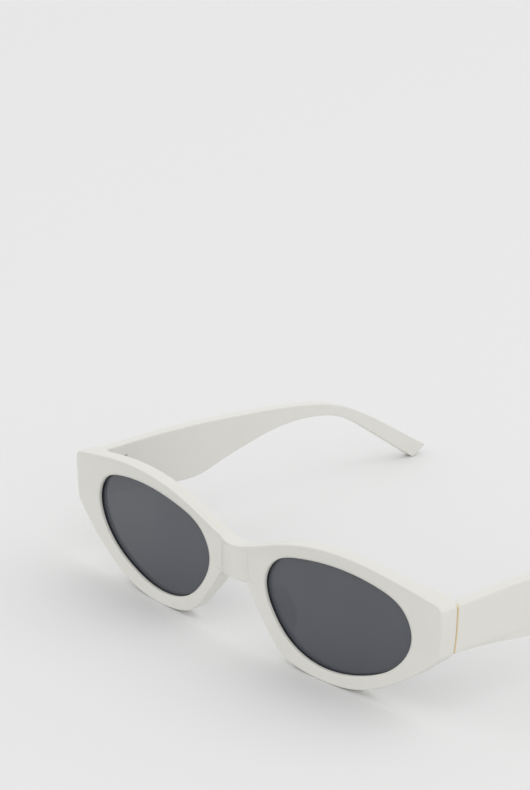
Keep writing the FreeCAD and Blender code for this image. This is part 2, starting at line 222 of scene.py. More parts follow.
def to_mesh(
    name: str, points: np.ndarray, faces: list, weld: float = 1e-4, finishes: np.ndarray | None = None
) -> bpy.types.Object:
    """An object with a smooth, welded, outward-facing mesh in metres.

    Args:
        name: Name of the object and its mesh.
        points: Points in millimetres, one row each.
        faces: Point numbers of each face.
        weld: Points nearer than this many millimetres become one.
        finishes: Number of each face's material slot, or None where all faces share one.

    Returns:
        The object, linked to the scene.
    """
    mesh = bpy.data.meshes.new(name)
    mesh.from_pydata((np.asarray(points) * MM).tolist(), [], [tuple(map(int, face)) for face in faces])
    if finishes is not None:
        mesh.polygons.foreach_set("material_index", np.asarray(finishes, np.int32))
    work = bmesh.new()
    work.from_mesh(mesh)
    bmesh.ops.remove_doubles(work, verts=work.verts, dist=weld * MM)
    bmesh.ops.dissolve_degenerate(work, edges=work.edges, dist=weld * MM * 0.1)
    bmesh.ops.recalc_face_normals(work, faces=work.faces)
    work.to_mesh(mesh)
    work.free()
    mesh.polygons.foreach_set("use_smooth", np.ones(len(mesh.polygons), bool))
    made = bpy.data.objects.new(name, mesh)
    bpy.context.scene.collection.objects.link(made)
    return made


class Shells:
    """Collects closed shells for one mesh."""

    def __init__(self) -> None:
        """Start empty."""
        self.points: list = []
        self.faces: list = []
        self.count = 0

    def add(self, points: np.ndarray, faces: list) -> None:
        """Append one shell.

        Args:
            points: Its points, in any grid whose last axis is xyz.
            faces: Its faces, numbered within it.
        """
        self.points.append(np.asarray(points, float).reshape(-1, 3))
        self.faces += [[int(i) + self.count for i in face] for face in faces]
        self.count += len(self.points[-1])

    def build(self, name: str, side: Side = Side.LEFT) -> bpy.types.Object:
        """Make the object, on the other side of x = 0 for the right."""
        points = np.vstack(self.points) * [side.value, 1, 1]
        return to_mesh(name, points, self.faces)


def capped(rings: np.ndarray) -> tuple[np.ndarray, list]:
    """Closed shell from a stack of rings, with a fan to the middle at each end.

    Args:
        rings: Points of the rings, (ring, point, xyz).

    Returns:
        Points and faces of the shell.
    """
    rows, columns, _ = rings.shape
    quads = sheet_faces(rows, columns, False, True).reshape(-1, 4).tolist()
    points = np.vstack([rings.reshape(-1, 3), rings[0].mean(axis=0), rings[-1].mean(axis=0)])
    first, last = rows * columns, rows * columns + 1
    around = np.arange(columns)
    nxt = (around + 1) % columns
    fans = [(first, b, a) for a, b in zip(around, nxt)]
    fans += [(last, a + (rows - 1) * columns, b + (rows - 1) * columns) for a, b in zip(around, nxt)]
    return points, quads + fans


def edge_steps(radius: float, count: int = 5) -> list[tuple[float, float]]:
    """A quarter round as (inset, depth) pairs from the flat face to the wall."""
    angles = np.linspace(0, math.pi / 2, count)
    return [(radius * (1 - math.sin(a)), radius * (1 - math.cos(a))) for a in angles]


def slab(loop: np.ndarray, thickness: float, radius: float) -> np.ndarray:
    """Rings of a flat piece with rounded edges, between 0 and thickness on its third axis.

    The loop moves in by radius * (1 - sin a) while the height climbs by radius * (1 - cos a).

    Args:
        loop: Closed outline, (point, 2).
        thickness: Height of the piece.
        radius: Rounding of both edges.

    Returns:
        Rings (ring, point, 3).
    """
    normal = outward(loop)
    low = [(inset, depth) for inset, depth in edge_steps(radius)]
    high = [(inset, thickness - depth) for inset, depth in low[::-1]]
    tucked = [(3 * radius, 0.0)] + low + high + [(3 * radius, thickness)]
    rings = [np.column_stack([loop - normal * inset, np.full(len(loop), height)]) for inset, height in tucked]
    return np.stack(rings)


def round_rectangle(width: float, height: float, radius: float, count: int = 6) -> np.ndarray:
    """A rectangle about the origin with round corners: four quarter circles joined by straight runs.

    Args:
        width: Size along the first axis.
        height: Size along the second axis.
        radius: Radius of the corners.
        count: Points on each corner.

    Returns:
        Points of the closed line, (point, 2).
    """
    corners = []
    for quarter, (sx, sy) in enumerate(((1, 1), (-1, 1), (-1, -1), (1, -1))):
        angles = np.linspace(quarter, quarter + 1, count) * math.pi / 2
        centre = np.array([sx * (width / 2 - radius), sy * (height / 2 - radius)])
        corners.append(centre + radius * np.column_stack([np.cos(angles), np.sin(angles)]))
    return np.vstack(corners)


def block(
    low: np.ndarray, high: np.ndarray, axis: int, corner: float, edge: float
) -> tuple[np.ndarray, list]:
    """A box with round corners about one axis and rounded edges across it.

    Args:
        low: Lowest corner.
        high: Highest corner.
        axis: 0, 1 or 2, the axis that the rounded outline is drawn along.
        corner: Radius of the four long corners.
        edge: Rounding of the two ends.

    Returns:
        Points and faces of a closed shell.
    """
    low, high = np.asarray(low, float), np.asarray(high, float)
    others = [i for i in range(3) if i != axis]
    spread, middle = high - low, (high + low) / 2
    rings = slab(round_rectangle(spread[others[0]], spread[others[1]], corner), spread[axis], edge)
    placed = np.empty_like(rings)
    placed[..., others[0]] = rings[..., 0] + middle[others[0]]
    placed[..., others[1]] = rings[..., 1] + middle[others[1]]
    placed[..., axis] = rings[..., 2] + low[axis]
    return capped(placed)


def turned(
    profile: list, centre: np.ndarray, axis: int, hollow: bool, count: int = 40
) -> tuple[np.ndarray, list]:
    """A round piece: a profile of (radius, height) pairs turned about an axis through centre.

    Args:
        profile: The pairs in order, from one end to the other, or once round for a hollow piece.
        centre: A point on the axis where the height is 0.
        axis: 0, 1 or 2.
        hollow: Whether the profile closes on itself instead of ending on the axis.
        count: Points around.

    Returns:
        Points and faces of a closed shell.
    """
    angle = np.arange(count) * 2 * math.pi / count
    radius, height = np.array(profile, float).T
    others = [i for i in range(3) if i != axis]
    rings = np.empty((len(profile), count, 3))
    rings[..., others[0]] = radius[:, None] * np.cos(angle) + centre[others[0]]
    rings[..., others[1]] = radius[:, None] * np.sin(angle) + centre[others[1]]
    rings[..., axis] = np.repeat(height[:, None], count, axis=1) + centre[axis]
    if hollow:
        return rings.reshape(-1, 3), sheet_faces(len(profile), count, True, True).reshape(-1, 4).tolist()
    return capped(rings)


def carve(piece: bpy.types.Object, cutter: bpy.types.Object) -> None:
    """Take the cutter's volume out of the piece's mesh, then delete the cutter.

    Args:
        piece: The object to carve; its materials stay on their faces.
        cutter: A closed object, deleted afterwards.
    """
    tool = piece.modifiers.new("carve", "BOOLEAN")
    tool.operation = "DIFFERENCE"
    tool.solver = "EXACT"
    tool.object = cutter
    bpy.context.view_layer.update()
    graph = bpy.context.evaluated_depsgraph_get()
    carved = bpy.data.meshes.new_from_object(piece.evaluated_get(graph))
    carved.name = "carved"
    piece.modifiers.clear()
    old = piece.data
    piece.data = carved
    carved.name = piece.name
    bpy.data.meshes.remove(old)
    bpy.data.objects.remove(cutter)


def box_tool(low: np.ndarray | list, high: np.ndarray | list, side: Side) -> bpy.types.Object:
    """A plain box with flat faces, to carve with.

    Args:
        low: Lowest corner on the left side.
        high: Highest corner on the left side.
        side: The side to put the box on.

    Returns:
        The box.
    """
    corners = [[x, y, z] for x in (low[0], high[0]) for y in (low[1], high[1]) for z in (low[2], high[2])]
    faces = [(0, 1, 3, 2), (4, 6, 7, 5), (0, 4, 5, 1), (2, 3, 7, 6), (0, 2, 6, 4), (1, 5, 7, 3)]
    tool = to_mesh("carving_tool", np.array(corners) * [side.value, 1, 1], faces)
    tool.data.polygons.foreach_set("use_smooth", np.zeros(len(faces), bool))
    return tool


# ------------------------------------------------------------------ finishes


def linear(code: str) -> tuple[float, float, float, float]:
    """An sRGB hex colour such as "e8e4da" as the linear colour that shaders take."""
    parts = [int(code[i : i + 2], 16) / 255 for i in (0, 2, 4)]
    return (*[c / 12.92 if c <= 0.04045 else ((c + 0.055) / 1.055) ** 2.4 for c in parts], 1.0)


def add_node(tree: bpy.types.NodeTree, kind: str, links: dict | None = None, **settings) -> bpy.types.Node:
    """Add a node, set what it is given, and link its inputs.

    Args:
        tree: The node tree.
        kind: The node's type name, such as "ShaderNodeTexNoise".
        links: Input name or number to the output socket that feeds it.
        **settings: Node properties, or input values under the input's name with _ for a space.

    Returns:
        The node.
    """
    node = tree.nodes.new(kind)
    for name, value in settings.items():
        if hasattr(node, name):
            setattr(node, name, value)
        else:
            node.inputs[name.replace("_", " ")].default_value = value
    for socket, source in (links or {}).items():
        tree.links.new(source, node.inputs[socket])
    return node


def blank_material(name: str) -> tuple[bpy.types.Material, bpy.types.NodeTree, bpy.types.Node]:
    """A material with only its output.

    Args:
        name: Name of the material.

    Returns:
        The material, its node tree and its output node.
    """
    material = bpy.data.materials.new(name)
    material.use_nodes = True
    tree = material.node_tree
    tree.nodes.clear()
    return material, tree, add_node(tree, "ShaderNodeOutputMaterial")


# Noise stays near a half. A Map Range node with these settings stretches it to the whole of its own span.
FROM_NOISE = {"From_Min": 0.3, "From_Max": 0.7}


@dataclass(frozen=True)
class Plastic:
    """Opaque moulded plastic, also used for the black painted shade line at the lens seat: a soft gloss,
    faintly waved, on a colour that barely clouds.

    The surface has shallow waves about a millimetre across, which break up a reflection. The colour clouds
    where the melt flowed, and the gloss changes over shorter lengths. All lengths are in millimetres.
    """

    name: str
    base: str
    cloud: str
    gloss_low: float = 0.29
    gloss_high: float = 0.35
    cloud_size: float = 9.0
    gloss_size: float = 2.25
    wave_size: float = 1.1
    wave_rise: float = 0.0035
    wave_strength: float = 0.35

    def make(self) -> bpy.types.Material:
        """Build the material.

        Returns:
            The material.
        """
        material, tree, output = blank_material(self.name)
        at = {"Vector": add_node(tree, "ShaderNodeTexCoord").outputs["Object"]}
        clouds = add_node(tree, "ShaderNodeTexNoise", at, Scale=1 / (self.cloud_size * MM), Detail=3.0)
        sheens = add_node(tree, "ShaderNodeTexNoise", at, Scale=1 / (self.gloss_size * MM), Detail=4.0)
        waves = add_node(tree, "ShaderNodeTexNoise", at, Scale=1 / (self.wave_size * MM), Detail=2.0)
        share = add_node(
            tree, "ShaderNodeMapRange", {"Value": clouds.outputs["Fac"]}, **FROM_NOISE, To_Min=0.0, To_Max=1.0
        )
        colour = add_node(tree, "ShaderNodeMix", {"Factor": share.outputs["Result"]}, data_type="RGBA")
        colour.inputs["A"].default_value = linear(self.base)
        colour.inputs["B"].default_value = linear(self.cloud)
        gloss = add_node(
            tree,
            "ShaderNodeMapRange",
            {"Value": sheens.outputs["Fac"]},
            **FROM_NOISE,
            To_Min=self.gloss_low,
            To_Max=self.gloss_high,
        )
        bump = add_node(
            tree,
            "ShaderNodeBump",
            {"Height": waves.outputs["Fac"]},
            Strength=self.wave_strength,
            Distance=self.wave_rise * MM,
        )
        shader = add_node(
            tree,
            "ShaderNodeBsdfPrincipled",
            {
                "Base Color": colour.outputs["Result"],
                "Roughness": gloss.outputs["Result"],
                "Normal": bump.outputs["Normal"],
            },
            IOR=1.48,
        )
        tree.links.new(shader.outputs["BSDF"], output.inputs["Surface"])
        return material


@dataclass(frozen=True)
class TintedLens:
    """Cast, dyed polycarbonate with a hard coat: dark smoke, see-through, polished, faintly uneven.

    The dye hides what is behind by the share called dye at each face. Sizes are in millimetres.
    """

    name: str
    tint: str
    dye: float
    dye_change: float = 0.01
    dye_size: float = 14.0
    gloss_low: float = 0.03
    gloss_high: float = 0.06
    gloss_size: float = 6.0

    def make(self) -> bpy.types.Material:
        """Build the material.

        Returns:
            The material.
        """
        material, tree, output = blank_material(self.name)
        at = {"Vector": add_node(tree, "ShaderNodeTexCoord").outputs["Object"]}
        sheens = add_node(tree, "ShaderNodeTexNoise", at, Scale=1 / (self.gloss_size * MM), Detail=3.0)
        clouds = add_node(tree, "ShaderNodeTexNoise", at, Scale=1 / (self.dye_size * MM), Detail=1.0)
        gloss = add_node(
            tree,
            "ShaderNodeMapRange",
            {"Value": sheens.outputs["Fac"]},
            **FROM_NOISE,
            To_Min=self.gloss_low,
            To_Max=self.gloss_high,
        )
        dye = add_node(
            tree,
            "ShaderNodeMapRange",
            {"Value": clouds.outputs["Fac"]},
            **FROM_NOISE,
            To_Min=self.dye - self.dye_change,
            To_Max=self.dye + self.dye_change,
        )
        shader = add_node(
            tree,
            "ShaderNodeBsdfPrincipled",
            {"Roughness": gloss.outputs["Result"], "Alpha": dye.outputs["Result"]},
            Base_Color=linear(self.tint),
            IOR=1.58,
        )
        tree.links.new(shader.outputs["BSDF"], output.inputs["Surface"])
        return material


@dataclass(frozen=True)
class Metal:
    """Bare or plated metal with fine lines left by turning, rolling or polishing.

    One noise, drawn out along the lines, changes the colour and the gloss and raises the lines. Its sizes
    are in millimetres; the lines are coarser than real ones, which would be too fine to show.
    """

    name: str
    light: str
    dark: str
    gloss_low: float
    gloss_high: float
    grain: float
    stretch: tuple[float, float, float] = (1.0, 1.0, 8.0)
    line_rise: float = 0.004
    line_strength: float = 0.3

    def make(self) -> bpy.types.Material:
        """Build the material.

        Returns:
            The material.
        """
        material, tree, output = blank_material(self.name)
        place = add_node(tree, "ShaderNodeTexCoord").outputs["Object"]
        drawn = add_node(tree, "ShaderNodeMapping", {"Vector": place}, Scale=self.stretch)
        at = {"Vector": drawn.outputs["Vector"]}
        noise = add_node(tree, "ShaderNodeTexNoise", at, Scale=1 / (self.grain * MM), Detail=3.0)
        lines = noise.outputs["Fac"]
        tone = add_node(tree, "ShaderNodeMapRange", {"Value": lines}, **FROM_NOISE, To_Min=0.0, To_Max=1.0)
        colour = add_node(tree, "ShaderNodeMix", {"Factor": tone.outputs["Result"]}, data_type="RGBA")
        colour.inputs["A"].default_value = linear(self.dark)
        colour.inputs["B"].default_value = linear(self.light)
        gloss = add_node(
            tree,
            "ShaderNodeMapRange",
            {"Value": lines},
            **FROM_NOISE,
            To_Min=self.gloss_low,
            To_Max=self.gloss_high,
        )
        bump = add_node(
            tree,
            "ShaderNodeBump",
            {"Height": lines},
            Strength=self.line_strength,
            Distance=self.line_rise * MM,
        )
        shader = add_node(
            tree,
            "ShaderNodeBsdfPrincipled",
            {
                "Base Color": colour.outputs["Result"],
                "Roughness": gloss.outputs["Result"],
                "Normal": bump.outputs["Normal"],
            },
            Metallic=1.0,
        )
        tree.links.new(shader.outputs["BSDF"], output.inputs["Surface"])
        return material


@dataclass(frozen=True)
class Studio:
    """Painted sweep that the pair stands on: matt, pale grey, barely grained; the grain is in millimetres."""

    name: str = "painted_sweep"
    base: str = "e6e6e6"
    grain: float = 0.8
    gloss_low: float = 0.85
    gloss_high: float = 0.95

    def make(self) -> bpy.types.Material:
        """Build the material.

        Returns:
            The material.
        """
        material, tree, output = blank_material(self.name)
        at = {"Vector": add_node(tree, "ShaderNodeTexCoord").outputs["Object"]}
        specks = add_node(tree, "ShaderNodeTexNoise", at, Scale=1 / (self.grain * MM), Detail=2.0)
        gloss = add_node(
            tree,
            "ShaderNodeMapRange",
            {"Value": specks.outputs["Fac"]},
            **FROM_NOISE,
            To_Min=self.gloss_low,
            To_Max=self.gloss_high,
        )
        rough = {"Roughness": gloss.outputs["Result"]}
        shader = add_node(tree, "ShaderNodeBsdfPrincipled", rough, Base_Color=linear(self.base), IOR=1.3)
        tree.links.new(shader.outputs["BSDF"], output.inputs["Surface"])
        return material


# Cellulose propionate, injection-moulded and tumbled: a warm white with a soft, slightly broken gloss.
IVORY = Plastic("moulded_ivory_propionate", "dddcd5", "dfded8")
# The same plastic where the edge of the opening was cut and polished, with a sharper gloss; its whiter colour
# is a painted highlight, a bright line along the edge.
EDGE_IVORY_PAINTED_HIGHLIGHT = Plastic("ivory_edge_painted_highlight", "fbfaf6", "fdfcf9", gloss_low=0.12, gloss_high=0.18)
# The same plastic on the pads, as it leaves the mould: a duller gloss, because nothing polished it.
PAD_IVORY = Plastic("moulded_ivory_pad", "dbdad3", "dddcd6", gloss_low=0.32, gloss_high=0.4)
# Polycarbonate, cast and dyed, with a hard coat: a dark smoke grey that lets a little through, and glassy.
SMOKE = TintedLens("dyed_smoke_polycarbonate", "454952", 0.82)
# Painted shade: a nearly black line that hardly shines, at the lens seat where rim and lens meet in shadow.
SEAT_PAINTED_SHADE = Plastic("seat_line_painted_shade", "0b0b0c", "101012", gloss_low=0.4, gloss_high=0.55)
# Gold plate on a polished end plate: a pale, warm, bright strip with fine polishing lines.
GOLD = Metal("polished_gold_plate", "f3e0bb", "e2ca9c", 0.14, 0.24, 0.5, (1.0, 8.0, 1.0))
# Nickel silver, stamped from strip: a grey-white metal with a satin sheen drawn out along the strip.
HINGE_STEEL = Metal("stamped_nickel_silver", "c9c8c4", "a9a8a4", 0.28, 0.42, 0.35)
# Screw steel, turned: a mid-grey metal with short turning lines.
SCREW_STEEL = Metal("turned_steel", "b9b9ba", "8f8f92", 0.22, 0.36, 0.25, (1.0, 1.0, 4.0))
# Core wire, drawn through a die: a dull grey metal, lined along its length.
WIRE_STEEL = Metal("drawn_core_wire", "9b9b9d", "7d7d80", 0.3, 0.45, 0.3)


def dress(piece: bpy.types.Object, *materials: bpy.types.Material) -> None:
    """Give a piece its materials.

    Args:
        piece: The piece.
        *materials: Its materials, in the order of its faces' slot numbers.
    """
    piece.data.materials.clear()
    for material in materials:
        piece.data.materials.append(material)


def settle(piece: bpy.types.Object, body: str, slot: str, *replaced: str) -> bpy.types.Object:
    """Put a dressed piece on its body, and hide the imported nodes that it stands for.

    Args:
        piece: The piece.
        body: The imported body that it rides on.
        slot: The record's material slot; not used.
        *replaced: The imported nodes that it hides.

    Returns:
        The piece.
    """
    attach(piece, body)
    if replaced:
        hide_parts(*replaced)
    LOG.info("%s: %d faces on %s", piece.name, len(piece.data.polygons), body)
    return piece


# ------------------------------------------------------------------ places taken from the frame


@dataclass(frozen=True)
class Places:
    """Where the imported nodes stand, in millimetres.

    butt_depth is how far the butt plane lies behind the face of the bridge at table height.
    """

    butt_depth: float = 8.8978

    def low(self, node: str) -> np.ndarray:
        """Lowest corner of a node."""
        return np.array(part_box(node)[0]) / MM

    def high(self, node: str) -> np.ndarray:
        """Highest corner of a node."""
        return np.array(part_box(node)[1]) / MM

    @property
    def butt(self) -> float:
        """The y of the plane where front and temples meet."""
        return self.high("front_frame")[1]

    @property
    def face(self) -> float:
        """The y of the face of the bridge at table height."""
        return self.butt - self.butt_depth

    @property
    def half_width(self) -> float:
        """Half the width of the front."""
        return self.high("front_frame")[0]

    @property
    def height(self) -> float:
        """Height of the front."""
        return self.high("front_frame")[2]

    @property
    def axis(self) -> np.ndarray:
        """The left hinge axis: its x and y, and the height of its middle."""
        return (self.low("hinge_screw_left") + self.high("hinge_screw_left")) / 2


# ------------------------------------------------------------------ front


@dataclass
class Front:
    """The one-piece front: two rims, the bridge with its raised pad, and the two endpieces.

    Lengths are in millimetres. brow, end, cheek and lens are outline points as shares of the half width
    and height of the front, or of the lens opening's width and height.
    """

    places: Places
    lens_width: float = 50.1
    lens_height: float = 29.7
    bridge_width: float = 21.8
    rim_below: float = 2.9
    rim_depth: float = 4.2
    face_radius: float = 556.0
    lean: float = math.radians(2.15)
    bridge_radius: float = 15.0
    bridge_rise: float = 0.9
    lens_recess: float = 1.4
    lens_gauge: float = 1.5
    dish: float = 0.85
    groove: float = 0.8
    play: float = 0.02
    temple_gauge: float = 3.2
    edge_round: float = 0.28
    back_round: float = 0.3
    butt_round: float = 0.12
    step_round: float = 0.3
    chamfer: float = 0.45
    chamfer_fall: float = 0.15
    corner_ease: float = 0.22
    spacing: float = 0.46
    ramp_start: float = 58.5
    ledge_gap: float = 0.35
    ledge_fall: float = 0.4
    seat_start: float = 0.95
    seat_wall: float = 0.14
    seat_proud: float = 0.03
    crease_depth: float = 0.09
    pad_middle: tuple = (10.6, 11.2)
    pad_long: float = 7.6
    pad_root: float = 2.0
    pad_short: float = 0.1
    pad_splay: float = 2.4
    pad_bare: float = 3.4
    pad_blend: float = 1.3
    pad_bed: float = 0.3
    pad_sunk: float = 0.05
    pad_half_width: float = 1.1
    pad_taper: float = 0.38
    pad_flare: float = 0.3
    pad_flare_reach: float = 0.8
    pad_end: float = 0.7
    lens_ease: float = 0.25
    seat_ease: float = 0.03
    seam_count: int = 28
    fan_rise: float = 0.9
    crease_half: float = 0.12
    crease_clear: float = 0.5
    crease_least: float = 0.4
    brow: tuple = (
        (0.0, 0.765), (0.056, 0.779), (0.141, 0.832), (0.242, 0.904), (0.395, 0.976), (0.59, 1.0),
        (0.775, 0.965), (0.985, 0.886),
    )
    end: tuple = ((1.0, 0.85), (0.999, 0.67), (0.992, 0.51))
    cheek: tuple = (
        (0.985, 0.487), (0.875, 0.301), (0.782, 0.182), (0.69, 0.086), (0.597, 0.026), (0.458, 0.0),
        (0.352, 0.014), (0.268, 0.06), (0.169, 0.238), (0.069, 0.505),
    )
    lens: tuple = (
        (0.0, 0.608), (0.07, 0.824), (0.247, 0.947), (0.511, 1.0), (0.784, 0.958), (0.94, 0.844),
        (1.0, 0.625), (0.924, 0.329), (0.69, 0.086), (0.411, 0.0), (0.188, 0.103), (0.058, 0.316),
    )

    def layer(self, x: np.ndarray, z: np.ndarray, below: float) -> np.ndarray:
        """The y of the curved layer below the face: an upright circle of the face radius, leaning forward."""
        sag = self.face_radius - np.sqrt((self.face_radius - below) ** 2 - x**2)
        return self.places.face + sag / math.cos(self.lean) - z * math.tan(self.lean)

    def skin(self, x: np.ndarray, z: np.ndarray) -> np.ndarray:
        """The y of the front surface: the face, or the small circle of the bridge pad where that is nearer.

        Args:
            x: Places across the front.
            z: Heights.

        Returns:
            The y of each point.
        """
        bulge = self.bridge_radius - self.bridge_rise - np.sqrt(np.maximum(self.bridge_radius**2 - x**2, 0))
        pad = self.places.face + bulge / math.cos(self.lean) - z * math.tan(self.lean)
        return np.minimum(self.layer(x, z, 0), pad)

    def back(self, x: np.ndarray, z: np.ndarray) -> np.ndarray:
        """The y of the back surface: a parallel layer that thickens to the butt plane above the hinge.

        The share of the way to the butt plane is a smooth step along x, from the ramp's start to the inner
        face of the temple, times a short smooth step in height just over the hinge leaf.

        Args:
            x: Places across the front.
            z: Heights.

        Returns:
            The y of each point.
        """
        shallow = self.layer(x, z, self.rim_depth)
        step = self.places.half_width - self.temple_gauge
        run = np.clip((x - self.ramp_start) / (step - self.ramp_start), 0, 1)
        over = np.clip((z - self.ledge) / self.ledge_fall, 0, 1)
        share = run**2 * (3 - 2 * run) * over**2 * (3 - 2 * over)
        return shallow + (self.places.butt - shallow) * share

    def on_layer(self, plane: np.ndarray, below: float) -> np.ndarray:
        """Points (x, y, z) where the points (x, z) meet the layer below the face."""
        return np.column_stack([plane[:, 0], self.layer(plane[:, 0], plane[:, 1], below), plane[:, 1]])

    @property
    def lens_middle(self) -> np.ndarray:
        """The middle of the left lens opening's box, (x, z)."""
        across = self.bridge_width / 2 + self.lens_width / 2
        return np.array([across, self.rim_below + self.lens_height / 2])

    @property
    def ledge(self) -> float:
        """The height above which the back thickens."""
        return self.places.high("front_hinge_left")[2] + self.ledge_gap

    @property
    def crease(self) -> float:
        """The x where the bridge pad meets the face.

        Returns:
            Its distance from the middle of the bridge.
        """
        x = np.linspace(0, self.bridge_width / 2, 4000)
        proud = self.skin(x, 0 * x) < self.layer(x, 0 * x, 0) - 1e-9
        return float(x[np.count_nonzero(proud)])

    def outline(self) -> tuple[np.ndarray, np.ndarray]:
        """The outline from the top of the bridge round the left end to the underside of the bridge.

        Smooth curves run through the points of brow, end and cheek. Their corners are eased together with
        the mirrored half, so that the line crosses the middle squarely.

        Returns:
            Points and outward unit normals, (point, 2) each.
        """
        scale = np.array([self.places.half_width, self.places.height])
        brow = np.array(self.brow)
        both = np.vstack([brow[:0:-1] * [-1, 1], brow]) * scale
        line = cubic_through(both, 2401)
        line = line[line[:, 0] >= 0]
        line[0, 0] = 0
        end = cubic_through(np.array(self.end) * scale, 200)
        cheek = cubic_through(np.array(self.cheek) * scale, 1600)
        half = np.vstack([line, end, cheek, [0, cheek[-1, 1]]])
        whole = np.vstack([half, half[-2:0:-1] * [-1, 1]])
        count = 8000
        smooth = eased(evened(whole, count, closed=True), self.corner_ease)
        normal = outward(smooth)
        smooth, normal = smooth[: count // 2 + 1], normal[: count // 2 + 1]
        smooth[[0, -1], 0] = 0
        normal[[0, -1]] = [[0, 1], [0, -1]]
        return smooth, normal

    def opening(self, angles: np.ndarray, centre: np.ndarray) -> tuple[np.ndarray, np.ndarray]:
        """Points and outward normals of the left lens opening at stretched angles about a centre.

        Args:
            angles: The angles, after the lens box is stretched to a square.
            centre: The point that they are taken about.

        Returns:
            Points and unit normals, (point, 2) each.
        """
        corner = np.array([self.bridge_width / 2, self.rim_below])
        knots = np.array(self.lens) * [self.lens_width, self.lens_height] + corner
        loop = cubic_through(knots, 4000, closed=True)
        normal = outward(loop)
        found = self.angles(loop, centre)
        order = np.argsort(found)
        turn = 2 * math.pi
        table = np.column_stack([loop, normal])[order]
        values = [np.interp(angles % turn, found[order], table[:, i], period=turn) for i in range(4)]
        values = np.stack(values, axis=1)
        heading = values[:, 2:] / np.linalg.norm(values[:, 2:], axis=1)[:, None]
        return values[:, :2], heading

    def angles(self, points: np.ndarray, centre: np.ndarray) -> np.ndarray:
        """Angles about a centre after the lens box is stretched to a square, from 0 to a full turn."""
        away = (points - centre) / [self.lens_width, self.lens_height]
        return np.arctan2(away[:, 1], away[:, 0]) % (2 * math.pi)

    def columns(self) -> dict:
        """The columns of the mesh: outline samples, with both sides of the step at each end of it.

        Returns:
            The samples as line, their normals as normal, which of them run on to the butt plane as deep, and
            the x of the step behind the endpiece as step.
        """
        bend_weight, clear = 3.0, 4
        line, normal = self.outline()
        step = self.places.half_width - self.temple_gauge
        deep = np.nonzero(line[:, 0] >= step)[0]
        first, last = deep[0], deep[-1]
        length = np.linalg.norm(np.diff(line, axis=0), axis=1).sum()
        picks = crowded(line, int(length / self.spacing), bend_weight)
        apart = np.minimum(np.abs(picks - first), np.abs(picks - last)) > clear
        picks = np.concatenate([picks[apart], [first, first, last, last]])
        picks = np.sort(picks, kind="stable")
        is_deep = (picks >= first) & (picks <= last)
        is_deep[np.searchsorted(picks, first)] = False
        is_deep[np.searchsorted(picks, last) + 1] = False
        return {"line": line[picks], "normal": normal[picks], "deep": is_deep, "step": step}

    def half(self) -> tuple[np.ndarray, np.ndarray, np.ndarray]:
        """The left half as a grid: rings run round the lens, columns across the rim, front over edge to back.

        Each column starts at the lens opening, crosses the face to the outline in straight shares, turns
        the rounded edge, goes back along the wall, returns over the back and climbs the opening's wall with
        its lens groove. Behind the endpiece the wall goes on to the butt plane and comes back down a step.

        Returns:
            Points (ring, column, xyz), the quads that exist, and the material slot of each.
        """
        made = self.columns()
        line, normal, deep, step = made["line"], made["normal"], made["deep"], made["step"]
        top, bottom = line[0, 1], line[-1, 1]
        margin = self.edge_round + 2 * self.step_round
        seam = self.seam_count
        share = np.linspace(0, 1, seam + 2)[1:-1]

        def on_seam(inset: float) -> np.ndarray:
            """Points up the middle of the bridge, (x, z), that stay inset from its top and underside."""
            heights = bottom + inset + share * (top - bottom - 2 * inset)
            return np.column_stack([np.zeros(seam), heights])

        front_rim = np.vstack([line - normal * self.edge_round, on_seam(self.edge_round)])
        centre = np.array([self.lens_middle[0], bottom + self.fan_rise])
        inner, inner_normal = self.opening(self.angles(front_rim, centre), centre)
        count = len(front_rim)
        outer_count = len(line)
        rings: list = []

        def add(plane: np.ndarray, depth: np.ndarray) -> None:
            """Append one ring of points (x, z) at their depths."""
            rings.append(np.column_stack([plane[:, 0], depth, plane[:, 1]]))

        start = inner + inner_normal * self.chamfer
        reach = np.linalg.norm(front_rim - start, axis=1)
        drop = start[:, 0] - front_rim[:, 0]
        crosses = (front_rim[:, 0] < self.crease) & (drop > 0)
        at = np.where(crosses, (start[:, 0] - self.crease) / np.where(drop > 0, drop, 1), 1.0)
        at = np.clip(at, self.crease_least, 1 - self.crease_clear / reach)
        sliver = self.crease_half / reach
        shares = [at * k for k in (0, 0.03, 0.1, 0.2, 0.32, 0.45, 0.58, 0.71, 0.83, 0.92)]
        shares += [at - sliver, at, at + sliver]
        shares += [at + (1 - at) * k for k in (0.4, 0.55, 0.7, 0.85)] + [1 - 0.5 * sliver, 0 * at + 1]
        climb, descend = front_rim[:, 1] - bottom, top - front_rim[:, 1]
        tall = np.clip(climb * descend / (0.25 * (top - bottom) ** 2), 0, 1)
        line_depth = np.where(crosses & (front_rim[:, 0] < 1e-6), self.crease_depth * np.sqrt(tall), 0)
        for part in shares:
            plane = start + (front_rim - start) * part[:, None]
            sunk = (line_depth if part is at else 0) + self.dish * (1 - part)
            add(plane, self.skin(plane[:, 0], plane[:, 1]) + sunk)
        edge_start = len(rings) - 1

        def around(inset: float | np.ndarray) -> np.ndarray:
            """The outline moved in by an inset, then the seam, as points (x, z)."""
            moved = line - normal * np.broadcast_to(inset, count)[:outer_count, None]
            return np.vstack([moved, on_seam(self.edge_round)])

